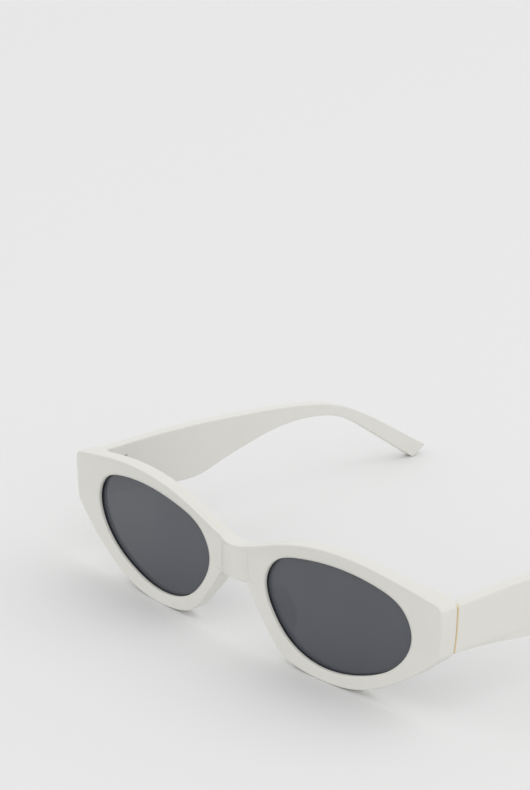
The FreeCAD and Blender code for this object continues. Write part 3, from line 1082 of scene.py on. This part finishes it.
        for inset, depth in edge_steps(self.edge_round)[1:]:
            plane = around(inset)
            add(plane, self.skin(plane[:, 0], plane[:, 1]) + depth)
        wall = around(0)
        is_deep = np.concatenate([deep, np.zeros(seam, bool)])
        butt = self.places.butt
        shallow = self.layer(wall[:, 0], wall[:, 1], self.rim_depth)
        ramped = np.where(is_deep, 1.0, (self.back(wall[:, 0], wall[:, 1]) - shallow) / (butt - shallow))
        softness = self.back_round + (self.butt_round - self.back_round) * ramped
        front_wall = self.skin(wall[:, 0], wall[:, 1]) + self.edge_round
        back_wall = self.back(wall[:, 0], wall[:, 1]) - softness
        for part in (0.35, 0.7, 1.0):
            add(wall, front_wall + (back_wall - front_wall) * part)
        for inset, depth in edge_steps(1.0)[::-1]:
            plane = around(softness * inset)
            add(plane, np.where(is_deep, butt, self.back(plane[:, 0], plane[:, 1])) - softness * depth)
        tucked = around(softness)
        room = np.clip((tucked[:, 0] - step) / 2, 0, self.step_round)
        floor = self.back(np.full(count, step), tucked[:, 1])
        fall = np.minimum(room, (butt - floor) / 2)
        turns = edge_steps(1.0)
        steps = [(room * inset, butt - fall * depth) for inset, depth in turns]
        steps += [(-room * depth, floor + fall * inset) for inset, depth in turns]
        spread_share = np.linspace(0, 1, len(steps) + 1)[1:]
        for (aside, depth), part in zip(steps, spread_share):
            inset = (softness + (margin - softness) * part)[:outer_count, None]
            seam_points = on_seam(self.edge_round + part * (margin - self.edge_round))
            plane = np.vstack([line - normal * inset, seam_points])
            plane[is_deep] = np.column_stack([step + aside, tucked[:, 1]])[is_deep]
            add(plane, np.where(is_deep, depth, self.back(plane[:, 0], plane[:, 1])))
        edge_end = len(rings) - 1
        begin = rings[-1][:, [0, 2]]
        target = inner + inner_normal * self.back_round
        high, low = self.ledge + self.ledge_fall, self.ledge
        meets = (begin[:, 1] > high) & (target[:, 1] < low) & (begin[:, 0] > self.ramp_start)
        descent = np.where(meets, begin[:, 1] - target[:, 1], 1)
        upper = np.where(meets, (begin[:, 1] - high) / descent, 0.2)[:, None]
        lower = np.where(meets, (begin[:, 1] - low) / descent, 0.3)[:, None]
        back_shares = [upper * k for k in (0.2, 0.45, 0.75, 1.0)]
        back_shares += [upper + (lower - upper) * k for k in (0.25, 0.5, 0.75, 1.0)]
        back_shares += [lower + (1 - lower) * k for k in (0.12, 0.3, 0.5, 0.7, 0.85, 0.94, 0.98, 1.0)]
        for part in back_shares:
            plane = begin + (target - begin) * part
            add(plane, self.back(plane[:, 0], plane[:, 1]))
        sill = self.lens_recess - self.play + self.dish
        bed = self.lens_recess + self.lens_gauge + self.play + self.dish
        seat, seat_wall = self.seat_start + self.dish, self.seat_wall
        wall_steps = [(inset, self.rim_depth - depth) for inset, depth in edge_steps(self.back_round)[1:]]
        wall_steps += [(0, bed + 0.05), (0, bed), (self.groove, bed), (self.groove, sill)]
        wall_steps += [(seat_wall, sill), (seat_wall, seat), (0, seat), (0, seat - 0.05)]
        fall = self.chamfer_fall
        bevel_steps = [(0, fall * 1.6), (fall * 0.4, fall), (self.chamfer - 0.03, fall * 0.12)]
        wall_steps += [(inset, below + self.dish) for inset, below in bevel_steps]
        for inset, below in wall_steps:
            rings.append(self.on_layer(inner + inner_normal * inset, below))
        points = np.stack(rings)
        quads = sheet_faces(len(rings), count, True, True)
        finish = np.zeros(quads.shape[:2], int)
        # The last rings, the chamfer round the opening, take the whiter ivory: a painted highlight line.
        highlight_rows = len(bevel_steps) + 2
        finish[-highlight_rows:] = 1
        open_columns = np.arange(count) >= outer_count - 1
        open_rows = (np.arange(len(rings)) >= edge_start) & (np.arange(len(rings)) < edge_end)
        kept = ~(open_rows[:, None] & open_columns[None, :])
        return points, quads[kept], finish[kept]

    def build(self) -> bpy.types.Object:
        """Make the whole front: the left half, its mirror image, and the pockets of the two front leaves.

        Returns:
            The piece.
        """
        points, quads, finish = self.half()
        flat = points.reshape(-1, 3)
        both = np.vstack([flat, flat * [-1, 1, 1]])
        faces = np.vstack([quads, quads[:, ::-1] + len(flat)])
        piece = to_mesh("front_moulding", both, faces.tolist(), 2e-4, np.concatenate([finish, finish]))
        # Second material: the chamfer faces, whiter as a painted highlight.
        dress(piece, IVORY.make(), EDGE_IVORY_PAINTED_HIGHLIGHT.make())
        low, high = self.places.low("front_hinge_left"), self.places.high("front_hinge_left")
        for side in Side:
            carve(piece, box_tool(low, high, side))
        return settle(piece, "front", "ivory_plastic", "front_frame")

    def build_lens(self, side: Side) -> bpy.types.Object:
        """Make one lens: curved like the face, with an eased edge that sits in the rim's groove.

        Both faces are layers below the face, and every ring is the edge line shrunk towards the middle.

        Args:
            side: The side to make it for.

        Returns:
            The piece.
        """
        centre = self.lens_middle
        inner, normal = self.opening(np.linspace(0, 2 * math.pi, 220, endpoint=False), centre)
        front, ease = self.lens_recess + self.dish, self.lens_ease
        back = front + self.lens_gauge
        edge = inner + normal * (self.groove - 2 * self.play)
        shares = (0.04, 0.2, 0.4, 0.6, 0.8, 0.94, 0.985, 0.998)
        steps = [(share, front) for share in shares] + [(1.0, front + ease), (1.0, back - ease)]
        steps += [(share, back) for share in shares[::-1]]
        rings = []
        for share, below in steps:
            rings.append(self.on_layer(centre + (edge - centre) * share, below))
        shell = Shells()
        shell.add(*capped(np.stack(rings)))
        piece = shell.build(f"lens_glass_{side.word}", side)
        dress(piece, SMOKE.make())
        return settle(piece, "front", "smoke_lens", f"lens_{side.word}")

    def build_seat_shade(self, side: Side) -> bpy.types.Object:
        """Make the painted shade line between rim and lens: a thin black hoop of oblong section let into the
        wall.

        The section runs from the seat's start to the lens face and is carried round the opening.

        Args:
            side: The side to make it for.

        Returns:
            The piece.
        """
        inner, normal = self.opening(np.linspace(0, 2 * math.pi, 300, endpoint=False), self.lens_middle)
        top, bottom = self.seat_start + self.dish + self.play, self.lens_recess + self.dish - self.play
        near, far, ease = -self.seat_proud, self.seat_wall - self.play, self.seat_ease
        section = [(near, top + ease), (near + ease, top), (far, top), (far, bottom), (near + ease, bottom)]
        section.append((near, bottom - ease))
        rings = [self.on_layer(inner + normal * inset, below) for inset, below in section]
        shell = Shells()
        shell.add(np.stack(rings), sheet_faces(len(section), len(inner), True, True).reshape(-1, 4).tolist())
        piece = shell.build(f"lens_seat_{side.word}", side)
        # Black all over: painted shade where the rim meets the lens.
        dress(piece, SEAT_PAINTED_SHADE.make())
        return settle(piece, "front", "smoke_lens")

    def build_pad(self, side: Side) -> bpy.types.Object:
        """Make one nose pad: a D-shaped fin that runs on from the flank of the nose and splays outward.

        At each depth the fin is a flattened oval bent along the flank: half its length is the pad's own
        half length times (1 - share^p)^(1/p), with share the way to the back edge, and its width is a
        steady taper with a soft flare at the rim. The nose side starts inside the wall, comes out of it at
        a grazing angle, and then leans away from the nose.

        Args:
            side: The side to make it for.

        Returns:
            The piece.
        """
        rows, columns, power, roundness, lean_power = 34, 112, 2.3, 0.7, 1.3
        nose_reach, nose_rise = 25, 12
        line, normal = self.outline()
        back = (self.places.high("nose_pad_left")[1] - self.places.face) - self.pad_short
        flank = (line[:, 0] < nose_reach) & (line[:, 1] < self.pad_middle[1] + nose_rise)
        run = np.concatenate([[0.0], np.cumsum(np.linalg.norm(np.diff(line[flank], axis=0), axis=1))])
        nearest = run[np.argmin(np.linalg.norm(line[flank] - self.pad_middle, axis=1))]
        share = np.sin(np.linspace(0, math.pi / 2, rows))
        depth = self.pad_root + (back - self.pad_root) * share
        long = self.pad_long * np.clip(1 - share**power, 0, 1) ** (1 / power)
        out = np.clip((depth - self.pad_bare) / (back - self.pad_bare), 0, 1)
        flare = self.pad_flare * np.exp(-(((depth - self.rim_depth) / self.pad_flare_reach) ** 2))
        wide = self.pad_half_width - self.pad_taper * out + flare
        soft = np.clip((back - depth) / self.pad_end, 0, 1)
        wide *= np.sqrt(1 - (1 - soft) ** 2)
        rise = np.clip((depth - self.pad_root) / self.pad_blend, 0, 1)
        inset = self.pad_bed * (1 - rise) ** 2 - self.pad_sunk + self.pad_splay * out**lean_power
        angle = np.arange(columns) * 2 * math.pi / columns
        across = np.sign(np.sin(angle)) * np.abs(np.sin(angle)) ** roundness
        rings = []
        for row in range(len(depth) - 1):
            along = nearest - long[row] * np.cos(angle)
            at = np.stack([np.interp(along, run, line[flank][:, i]) for i in (0, 1)], axis=1)
            away = np.stack([np.interp(along, run, normal[flank][:, i]) for i in (0, 1)], axis=1)
            plane = at - away * (inset[row] + wide[row] * (1 - across))[:, None]
            deep = self.places.face + depth[row] - plane[:, 1] * math.tan(self.lean)
            rings.append(np.column_stack([plane[:, 0], deep, plane[:, 1]]))
        shell = Shells()
        shell.add(*capped(np.stack(rings)))
        piece = shell.build(f"nose_rest_{side.word}", side)
        dress(piece, PAD_IVORY.make())
        return settle(piece, "front", "pad_plastic", f"nose_pad_{side.word}")


# ------------------------------------------------------------------ temples


@dataclass
class Temple:
    """One temple bar and the metal plate on its front end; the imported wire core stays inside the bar.

    Lengths are in millimetres. top, hinge_under and bar_under are outline points as shares of the length
    and of the height of the front.
    """

    places: Places
    side: Side
    gauge: float = 3.2
    edge_round: float = 0.32
    corner_ease: float = 0.25
    tip_bevel: float = 5.2
    tip_height: float = 0.085
    tip_ease: float = 0.45
    notch_ease: float = 2.4
    notch_middle: float = 0.265
    notch_reach: float = 0.12
    tip_share: float = 0.9
    plate_edge: float = 0.05
    lean_length: float = 34.0
    crisp_length: float = 1.4
    crisp_share: float = 0.3
    top: tuple = (
        (0.0, 0.857), (0.145, 0.865), (0.287, 0.854), (0.435, 0.819), (0.556, 0.777), (0.632, 0.735),
        (0.7, 0.675), (0.763, 0.582), (0.83, 0.454),
    )
    hinge_under: tuple = ((0.0, 0.5), (0.1, 0.465), (0.245, 0.412))
    bar_under: tuple = (
        (0.285, 0.418), (0.348, 0.489), (0.437, 0.573), (0.525, 0.63), (0.588, 0.639), (0.65, 0.62),
        (0.714, 0.56), (0.78, 0.435),
    )

    @property
    def body(self) -> str:
        """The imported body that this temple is."""
        return f"temple_{self.side.word}_arm"

    def outline(self) -> tuple[np.ndarray, np.ndarray, int]:
        """The side outline (y, z), its normals, and how many of its points make the upper half.

        The loop starts half way up the front end, runs over the top to the middle of the tip's end and
        comes back underneath, with as many points below as above.

        Returns:
            Points and outward unit normals, (point, 2) each, and the number of points in the upper half.
        """
        start, back = self.places.low("temple_left")[1], self.places.high("temple_left")[1]
        run, tall = back - start, self.places.height

        def place(shares: tuple) -> np.ndarray:
            """Shares of the length and height as points (y, z)."""
            return np.array(shares) * [run, tall] + [start, 0]

        top = cubic_through(place(self.top), 900)
        under_hinge = cubic_through(place(self.hinge_under), 300)
        under = np.vstack([under_hinge, cubic_through(place(self.bar_under), 700)])
        crown, heel = np.array([back, tall * self.tip_height]), np.array([back - self.tip_bevel, 0])
        front, tip = (top[0] + under[0]) / 2, (crown + heel) / 2
        half, kept = 1500, 330
        upper = evened(np.vstack([front, top, crown, tip]), half)
        lower = evened(np.vstack([front, under, heel, tip]), half)
        loop = np.vstack([upper, lower[-2:0:-1]])
        smooth = self.ease_parts(loop, half)
        picks_up = np.linspace(0, half - 1, kept).round().astype(int)
        picks_down = (2 * half - 2 - picks_up[1:-1])[::-1]
        normal = outward(smooth)
        picks = np.concatenate([picks_up, picks_down])
        return smooth[picks], normal[picks], len(picks_up)

    def ease_parts(self, loop: np.ndarray, half: int) -> np.ndarray:
        """Ease the front corners a little, the tip's corners more and the step under the bar most.

        The three eased lines are mixed by the share of the way along the bar. Then the tip moves by what
        easing took from it, so that it still stands on the table at the full length.

        Args:
            loop: Points of the outline, (point, 2).
            half: How many of them make the upper half.

        Returns:
            The eased points.
        """
        close = eased(loop, self.corner_ease)
        wide = eased(loop, self.tip_ease)
        soft = eased(loop, self.notch_ease)
        span = loop[:, 0].max() - loop[:, 0].min()
        far = (loop[:, 0] - loop[:, 0].min()) / span
        tip = np.clip((far - self.tip_share) / 0.04, 0, 1)[:, None]
        below = (np.arange(len(loop)) > half) & (far > 0.12) & (far < 0.5)
        notch = (np.clip(1 - np.abs(far - self.notch_middle) / self.notch_reach, 0, 1) * below)[:, None]
        mixed = (close * (1 - tip) + wide * tip) * (1 - notch) + soft * notch
        short = np.array([loop[:, 0].max() - mixed[:, 0].max(), -mixed[:, 1].min()])
        return mixed + short * np.clip((far - self.tip_share) / 0.08, 0, 1)[:, None]

    def build_bar(self, lean_in: "LeanIn") -> bpy.types.Object:
        """Make the bar: a flat slab with rounded edges whose outer face follows the endpiece at its root.

        Rings climb from the inner to the outer face. Each face is a ladder between the outline's upper and
        lower half, whose first column is the front end's own points.

        Args:
            lean_in: How the outer face follows the endpiece.

        Returns:
            The piece.
        """
        loop, normal, upper = self.outline()
        count = len(loop)
        inner = self.places.low("temple_left")[0]
        low = edge_steps(self.edge_round, 6)
        insets = low + [(0.0, self.gauge * k) for k in (0.35, 0.65)]
        insets += [(inset, self.gauge - depth) for inset, depth in low[::-1]]
        behind = np.clip((loop[:, 0] - self.places.low("temple_left")[1]) / self.crisp_length, 0, 1)
        soft = self.crisp_share + (1 - self.crisp_share) * behind
        rings = []
        for inset, up in insets:
            height = np.where(up < self.gauge / 2, up * soft, self.gauge - (self.gauge - up) * soft)
            if self.edge_round < up < self.gauge - self.edge_round:
                height = np.full(count, up)
            rings.append(np.column_stack([inner + height, loop - normal * (inset * soft)[:, None]]))
        rings = np.stack(rings)
        points = [rings.reshape(-1, 3)]
        faces = sheet_faces(len(insets), count, False, True).reshape(-1, 4).tolist()
        shell = Shells()
        offset = rings.shape[0] * count
        corner = int(np.argmax(normal[:upper, 1] > np.abs(normal[:upper, 0])))
        front_end = np.arange(corner, -corner - 1, -1) % count
        over = np.arange(corner, upper)
        under = (count - over) % count
        share = np.linspace(0, 1, len(front_end))[:, None, None]
        for ring in (0, len(insets) - 1):
            ladder = rings[ring][over] * (1 - share) + rings[ring][under] * share
            ladder[:, 0] = rings[ring][front_end]
            points.append(ladder.reshape(-1, 3))
            quads = sheet_faces(len(front_end), len(over), False, False).reshape(-1, 4) + offset
            faces += quads.tolist()
            offset += ladder.shape[0] * ladder.shape[1]
        placed = lean_in.apply(np.vstack(points), inner, self.gauge)
        shell.add(placed, faces)
        piece = shell.build(f"temple_bar_{self.side.word}", self.side)
        leaf_low, leaf_high = self.places.low("temple_hinge_left"), self.places.high("temple_hinge_left")
        front = self.places.low("temple_left")[1] + Hinge.leaf_inset
        carve(piece, box_tool([inner - 1, front, leaf_low[2]], leaf_high, self.side))
        dress(piece, IVORY.make())
        return settle(piece, self.body, "ivory_plastic", f"temple_{self.side.word}")

    def build_plate(self, lean_in: "LeanIn") -> bpy.types.Object:
        """Make the polished plate between the endpiece and the temple.

        Args:
            lean_in: How its outer edge follows the endpiece.

        Returns:
            The piece.
        """
        node = "end_plate_left"
        low, high = self.places.low(node), self.places.high(node)
        size, middle = high - low, (low + high) / 2
        outline = evened(round_rectangle(size[0], size[2], self.edge_round, 8), 180, closed=True)
        rings = slab(outline, size[1], self.plate_edge)
        placed = np.stack([rings[..., 0], rings[..., 2], rings[..., 1]], axis=-1)
        placed += [middle[0], low[1], middle[2]]
        points, faces = capped(placed)
        shell = Shells()
        shell.add(lean_in.apply(points, low[0], self.gauge), faces)
        piece = shell.build(f"gold_plate_{self.side.word}", self.side)
        dress(piece, GOLD.make())
        return settle(piece, self.body, "gold_metal", f"end_plate_{self.side.word}")


@dataclass(frozen=True)
class LeanIn:
    """How the outer face leans in below the brow, so that plate and temple stay flush with the endpiece.

    end is the endpiece's side outline, (x, z); root is the y where the temple starts, and length how far
    along the bar the lean fades out.
    """

    half_width: float
    end: np.ndarray
    root: float
    length: float

    def apply(self, points: np.ndarray, inner: float, gauge: float) -> np.ndarray:
        """Move outer points inward by the endpiece's own lean at their height, fading along the bar.

        The shift is (half width - end outline) * (share of the thickness) * (smooth fade to zero).

        Args:
            points: Points of the left bar or plate, (point, xyz).
            inner: The x of its inner face.
            gauge: Its thickness.

        Returns:
            The moved points.
        """
        moved = np.array(points)
        order = np.argsort(self.end[:, 1])
        lean = self.half_width - np.interp(moved[:, 2], self.end[order, 1], self.end[order, 0])
        along = np.clip((moved[:, 1] - self.root) / self.length, 0, 1)
        fade = 1 - along**2 * (3 - 2 * along)
        share = np.clip((moved[:, 0] - inner) / gauge, 0, 1)
        moved[:, 0] -= lean * fade * share
        return moved


# ------------------------------------------------------------------ hinges


@dataclass
class Hinge:
    """One three-knuckle hinge: front leaf, temple leaf, slotted pin and four small fixing screws.

    Lengths are in millimetres, and index 0 is the lowest knuckle.
    """

    places: Places
    side: Side
    knuckle_radius: float = 1.5
    knuckle_rise: float = 2.2
    knuckle_gap: float = 0.08
    pin_radius: float = 0.6
    pin_head_radius: float = 1.05
    pin_head_rise: float = 0.6
    clearance: float = 0.03
    leaf_gauge: float = 1.0
    neck_length: float = 2.0
    leaf_inset: float = 0.5
    fixing_head_radius: float = 0.8
    fixing_spread: float = 4.4
    fixing_length: float = 2.4
    proud: float = 0.07
    slot_width: float = 0.3
    slot_depth: float = 0.25
    soften: float = 0.1
    play: float = 0.02
    neck_share: float = 0.9
    neck_root: float = 0.3
    pin_wall: float = 0.1
    neck_corner: float = 0.12
    neck_edge: float = 0.05
    strap_edge: float = 0.08
    fixing_shank: float = 0.45
    fixing_head_rise: float = 0.5
    pin_slot_reach: float = 2.0
    fixing_slot_reach: float = 1.2

    def __post_init__(self) -> None:
        """Find the axis and the hinge's underside in the frame."""
        self.axis = self.places.axis
        self.bottom = self.places.low("hinge_screw_left")[2]

    @property
    def arm(self) -> str:
        """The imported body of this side's temple."""
        return f"temple_{self.side.word}_arm"

    def knuckle(self, index: int, bore: float) -> tuple[np.ndarray, list]:
        """One knuckle: a ring section with eased corners turned about the hinge axis.

        Args:
            index: Its place from the bottom, 0 to 2.
            bore: Radius of its bore.

        Returns:
            Points and faces of a closed shell.
        """
        low = self.bottom + index * (self.knuckle_rise + self.knuckle_gap)
        high, outer, ease = low + self.knuckle_rise, self.knuckle_radius, self.soften
        corner = ease * 0.3
        profile = [(bore, low + ease), (bore + ease, low), (outer - ease, low)]
        profile += [(outer - corner, low + corner), (outer, low + ease)]
        profile += [(outer, high - ease), (outer - corner, high - corner)]
        profile += [(outer - ease, high), (bore + ease, high), (bore, high - ease)]
        centre = np.array([self.axis[0], self.axis[1], 0])
        return turned(profile, centre, 2, True)

    def build_front_leaf(self) -> bpy.types.Object:
        """Make the leaf let into the back of the endpiece, with its two necks and outer knuckles.

        Returns:
            The piece.
        """
        low, high = self.places.low("front_hinge_left"), self.places.high("front_hinge_left")
        shell = Shells()
        play, corner = self.play, 0.35
        leaf_end = [high[0] - play, low[1] + self.leaf_gauge, high[2] - play]
        shell.add(*block(low + play, leaf_end, 1, corner, self.soften))
        for index in (0, 2):
            bottom = self.bottom + index * (self.knuckle_rise + self.knuckle_gap)
            shell.add(*self.knuckle(index, self.pin_radius + 0.01))
            neck = self.knuckle_radius * self.neck_share
            neck_end = self.axis[1] - self.pin_radius - self.pin_wall
            start = [self.axis[0] - neck, low[1] + self.neck_root, bottom + play]
            end = [self.axis[0] + neck, neck_end, bottom + self.knuckle_rise - play]
            shell.add(*block(start, end, 1, self.neck_corner, self.neck_edge))
        piece = shell.build(f"front_leaf_{self.side.word}", self.side)
        dress(piece, HINGE_STEEL.make())
        return settle(piece, "front", "hinge_steel", f"front_hinge_{self.side.word}")

    def build_temple_leaf(self) -> bpy.types.Object:
        """Make the leaf let into the temple, with its foot, strap and middle knuckle.

        Returns:
            The piece.
        """
        low, high = self.places.low("temple_hinge_left"), self.places.high("temple_hinge_left")
        inner = self.places.low("temple_left")[0]
        front = self.places.low("temple_left")[1] + self.leaf_inset
        bottom = self.bottom + self.knuckle_rise + self.knuckle_gap
        top = bottom + self.knuckle_rise
        play, foot_corner, slack, lug_corner = self.play, 0.5, 0.01, 0.2
        shell = Shells()
        shell.add(*block([inner, front + play, low[2] + play], high - play, 0, foot_corner, self.soften))
        shell.add(*self.knuckle(1, self.pin_radius + self.clearance))
        strap_end = front + self.neck_length
        outer = self.axis[0] + self.knuckle_radius
        start = [self.axis[0] + self.pin_radius + self.pin_wall, self.axis[1] - 0.2, bottom + slack]
        shell.add(*block(start, [outer, strap_end, top - slack], 2, self.neck_corner, self.strap_edge))
        start = [self.axis[0] + 0.3, front, bottom + slack]
        shell.add(*block(start, [inner + 0.4, strap_end, top - slack], 2, lug_corner, self.strap_edge))
        piece = shell.build(f"temple_leaf_{self.side.word}", self.side)
        dress(piece, HINGE_STEEL.make())
        return settle(piece, self.arm, "hinge_steel", f"temple_hinge_{self.side.word}")

    def build_pin(self) -> bpy.types.Object:
        """Make the hinge pin: a slotted head sunk in the top knuckle on a long shank.

        Returns:
            The piece.
        """
        low, high = self.bottom, self.places.high("hinge_screw_left")[2]
        head, shank, ease = self.pin_head_radius, self.pin_radius, self.soften
        neck, rim, flat = high - self.pin_head_rise, head - self.play, 0.4
        profile = [(shank - ease, low), (shank, low + ease), (shank, neck), (rim, neck)]
        profile += [(rim, high - ease), (head - ease, high + self.proud * 0.6), (flat, high + self.proud)]
        shell = Shells()
        centre = np.array([self.axis[0], self.axis[1], 0])
        shell.add(*turned(profile, centre, 2, False, 48))
        piece = shell.build(f"hinge_pin_{self.side.word}", self.side)
        half = self.slot_width / 2
        start = [self.axis[0] - self.pin_slot_reach, self.axis[1] - half, high - self.slot_depth]
        end = [self.axis[0] + self.pin_slot_reach, self.axis[1] + half, high + 1]
        carve(piece, box_tool(start, end, self.side))
        dress(piece, SCREW_STEEL.make())
        return settle(piece, "front", "screw_steel", f"hinge_screw_{self.side.word}")

    def build_fixings(self, node: str, name: str, axis: int, sign: int, body: str) -> bpy.types.Object:
        """Make the two small screws of a leaf, with domed, slotted heads that stand a little proud.

        Args:
            node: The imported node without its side.
            name: The piece without its side.
            axis: 0 where the screws run along x, 1 along y.
            sign: +1 where the heads face the high side of the axis, else -1.
            body: The body that the leaf belongs to.

        Returns:
            The piece.
        """
        low, high = self.places.low(f"{node}_left"), self.places.high(f"{node}_left")
        middle = (low + high) / 2
        face = high[axis] if sign > 0 else low[axis]
        radius, shank, neck = self.fixing_head_radius, self.fixing_shank, -self.fixing_head_rise
        dome = [(shank, -self.fixing_length), (shank, neck), (radius - self.play, neck)]
        dome += [(radius - self.play, 0.0), (radius * 0.9, self.proud * 0.6)]
        dome += [(radius * 0.6, self.proud * 0.9), (radius * 0.3, self.proud)]
        profile = [(r, h * sign) for r, h in dome]
        shell = Shells()
        centres = []
        for step in (-0.5, 0.5):
            centre = middle.copy()
            centre[axis] = face
            centre[2] = middle[2] + step * self.fixing_spread
            centres.append(centre)
            shell.add(*turned(profile, centre, axis, False, 32))
        piece = shell.build(f"{name}_{self.side.word}", self.side)
        for centre in centres:
            start, end = centre - self.fixing_slot_reach, centre + self.fixing_slot_reach
            start[2], end[2] = centre[2] - self.slot_width / 2, centre[2] + self.slot_width / 2
            if sign > 0:
                start[axis] = face - self.slot_depth + self.proud
            else:
                end[axis] = face + self.slot_depth - self.proud
            carve(piece, box_tool(start, end, self.side))
        dress(piece, SCREW_STEEL.make())
        return settle(piece, body, "screw_steel", f"{node}_{self.side.word}")

    def build(self) -> None:
        """Make every piece of the hinge."""
        self.build_front_leaf()
        self.build_temple_leaf()
        self.build_pin()
        self.build_fixings("front_hinge_fixings", "front_leaf_screws", 1, 1, "front")
        self.build_fixings("temple_hinge_fixings", "temple_leaf_screws", 0, -1, self.arm)


# ------------------------------------------------------------------ studio


@dataclass(frozen=True)
class Lamp:
    """One soft area lamp that looks at the origin, in metres and watts."""

    name: str
    place: tuple[float, float, float]
    size: float
    watts: float
    colour: str = "ffffff"

    def build(self) -> None:
        """Add the lamp."""
        light = bpy.data.lights.new(self.name, "AREA")
        light.shape = "DISK"
        light.size = self.size
        light.energy = self.watts
        light.color = linear(self.colour)[:3]
        lamp = bpy.data.objects.new(self.name, light)
        lamp.location = self.place
        lamp.rotation_euler = (-Vector(self.place)).to_track_quat("-Z", "Y").to_euler()
        bpy.context.scene.collection.objects.link(lamp)


@dataclass(frozen=True)
class View:
    """The camera: a long lens from the wearer's front left and above.

    place is in metres. right and down are the camera's own directions; lens and sensor are in millimetres.
    """

    place: tuple[float, float, float] = (0.471872, -0.494390, 0.290579)
    right: tuple[float, float, float] = (0.67223, 0.74010, 0.01902)
    down: tuple[float, float, float] = (0.25602, -0.20828, -0.94397)
    lens: float = 120.08
    sensor: float = 36.0

    def build(self) -> None:
        """Add the camera and make it the scene's."""
        data = bpy.data.cameras.new("view")
        data.lens, data.sensor_width, data.sensor_fit = self.lens, self.sensor, "AUTO"
        data.clip_start, data.clip_end = 0.01, 50
        camera = bpy.data.objects.new("view", data)
        right, up = Vector(self.right).normalized(), -Vector(self.down).normalized()
        back = right.cross(up).normalized()
        up = back.cross(right)
        turn = Matrix((right, up, back)).transposed().to_4x4()
        camera.matrix_world = Matrix.Translation(self.place) @ turn
        bpy.context.scene.collection.objects.link(camera)
        bpy.context.scene.camera = camera


FLOOR_SIZE = 14.0
SKY_STRENGTH = 0.96


def build_studio() -> None:
    """Pale floor, even sky light and two soft lamps; places and sizes are in metres."""
    half = FLOOR_SIZE / 2
    corners = [(-half, -half, 0), (half, -half, 0), (half, half, 0), (-half, half, 0)]
    mesh = bpy.data.meshes.new("studio_floor")
    mesh.from_pydata(corners, [], [(0, 1, 2, 3)])
    floor = bpy.data.objects.new("studio_floor", mesh)
    bpy.context.scene.collection.objects.link(floor)
    dress(floor, Studio().make())
    world = bpy.data.worlds.new("sky")
    world.use_nodes = True
    sky = world.node_tree.nodes["Background"]
    sky.inputs["Color"].default_value = linear("ffffff")
    sky.inputs["Strength"].default_value = SKY_STRENGTH
    bpy.context.scene.world = world
    bpy.context.scene.view_settings.view_transform = "Standard"
    Lamp("key", place=(0.9, 1.1, 1.9), size=2.2, watts=4.5).build()
    Lamp("fill", place=(1.6, -0.9, 0.9), size=1.2, watts=2.0).build()


def lean_of(front: Front) -> LeanIn:
    """The lean of the endpiece's side, read from the outline between the plate's foot and the brow.

    Args:
        front: The front.

    Returns:
        The lean for the plates and temples.
    """
    places = front.places
    brow_start = places.height * 0.84
    end, _ = front.outline()
    side = end[:, 0] > places.half_width - front.temple_gauge
    side &= (end[:, 1] > places.low("end_plate_left")[2] - 1) & (end[:, 1] < brow_start)
    return LeanIn(places.half_width, end[side], places.low("temple_left")[1], Temple.lean_length)


def main() -> None:
    """Build the pair around the frame."""
    logging.basicConfig(level=logging.INFO, format="%(message)s")
    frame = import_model()
    places = Places()
    front = Front(places)
    front.build()
    lean_in = lean_of(front)
    for side in Side:
        front.build_lens(side)
        # The seat hoop is a black line of painted shade.
        front.build_seat_shade(side)
        front.build_pad(side)
        Hinge(places, side).build()
        temple = Temple(places, side)
        temple.build_bar(lean_in)
        temple.build_plate(lean_in)
        core = frame["nodes"][f"temple_core_{side.word}"]
        dress(core, WIRE_STEEL.make())
        LOG.info("%s: packed node kept, inside the bar", core.name)
    build_studio()
    View().build()


if __name__ == "__main__":
    main()
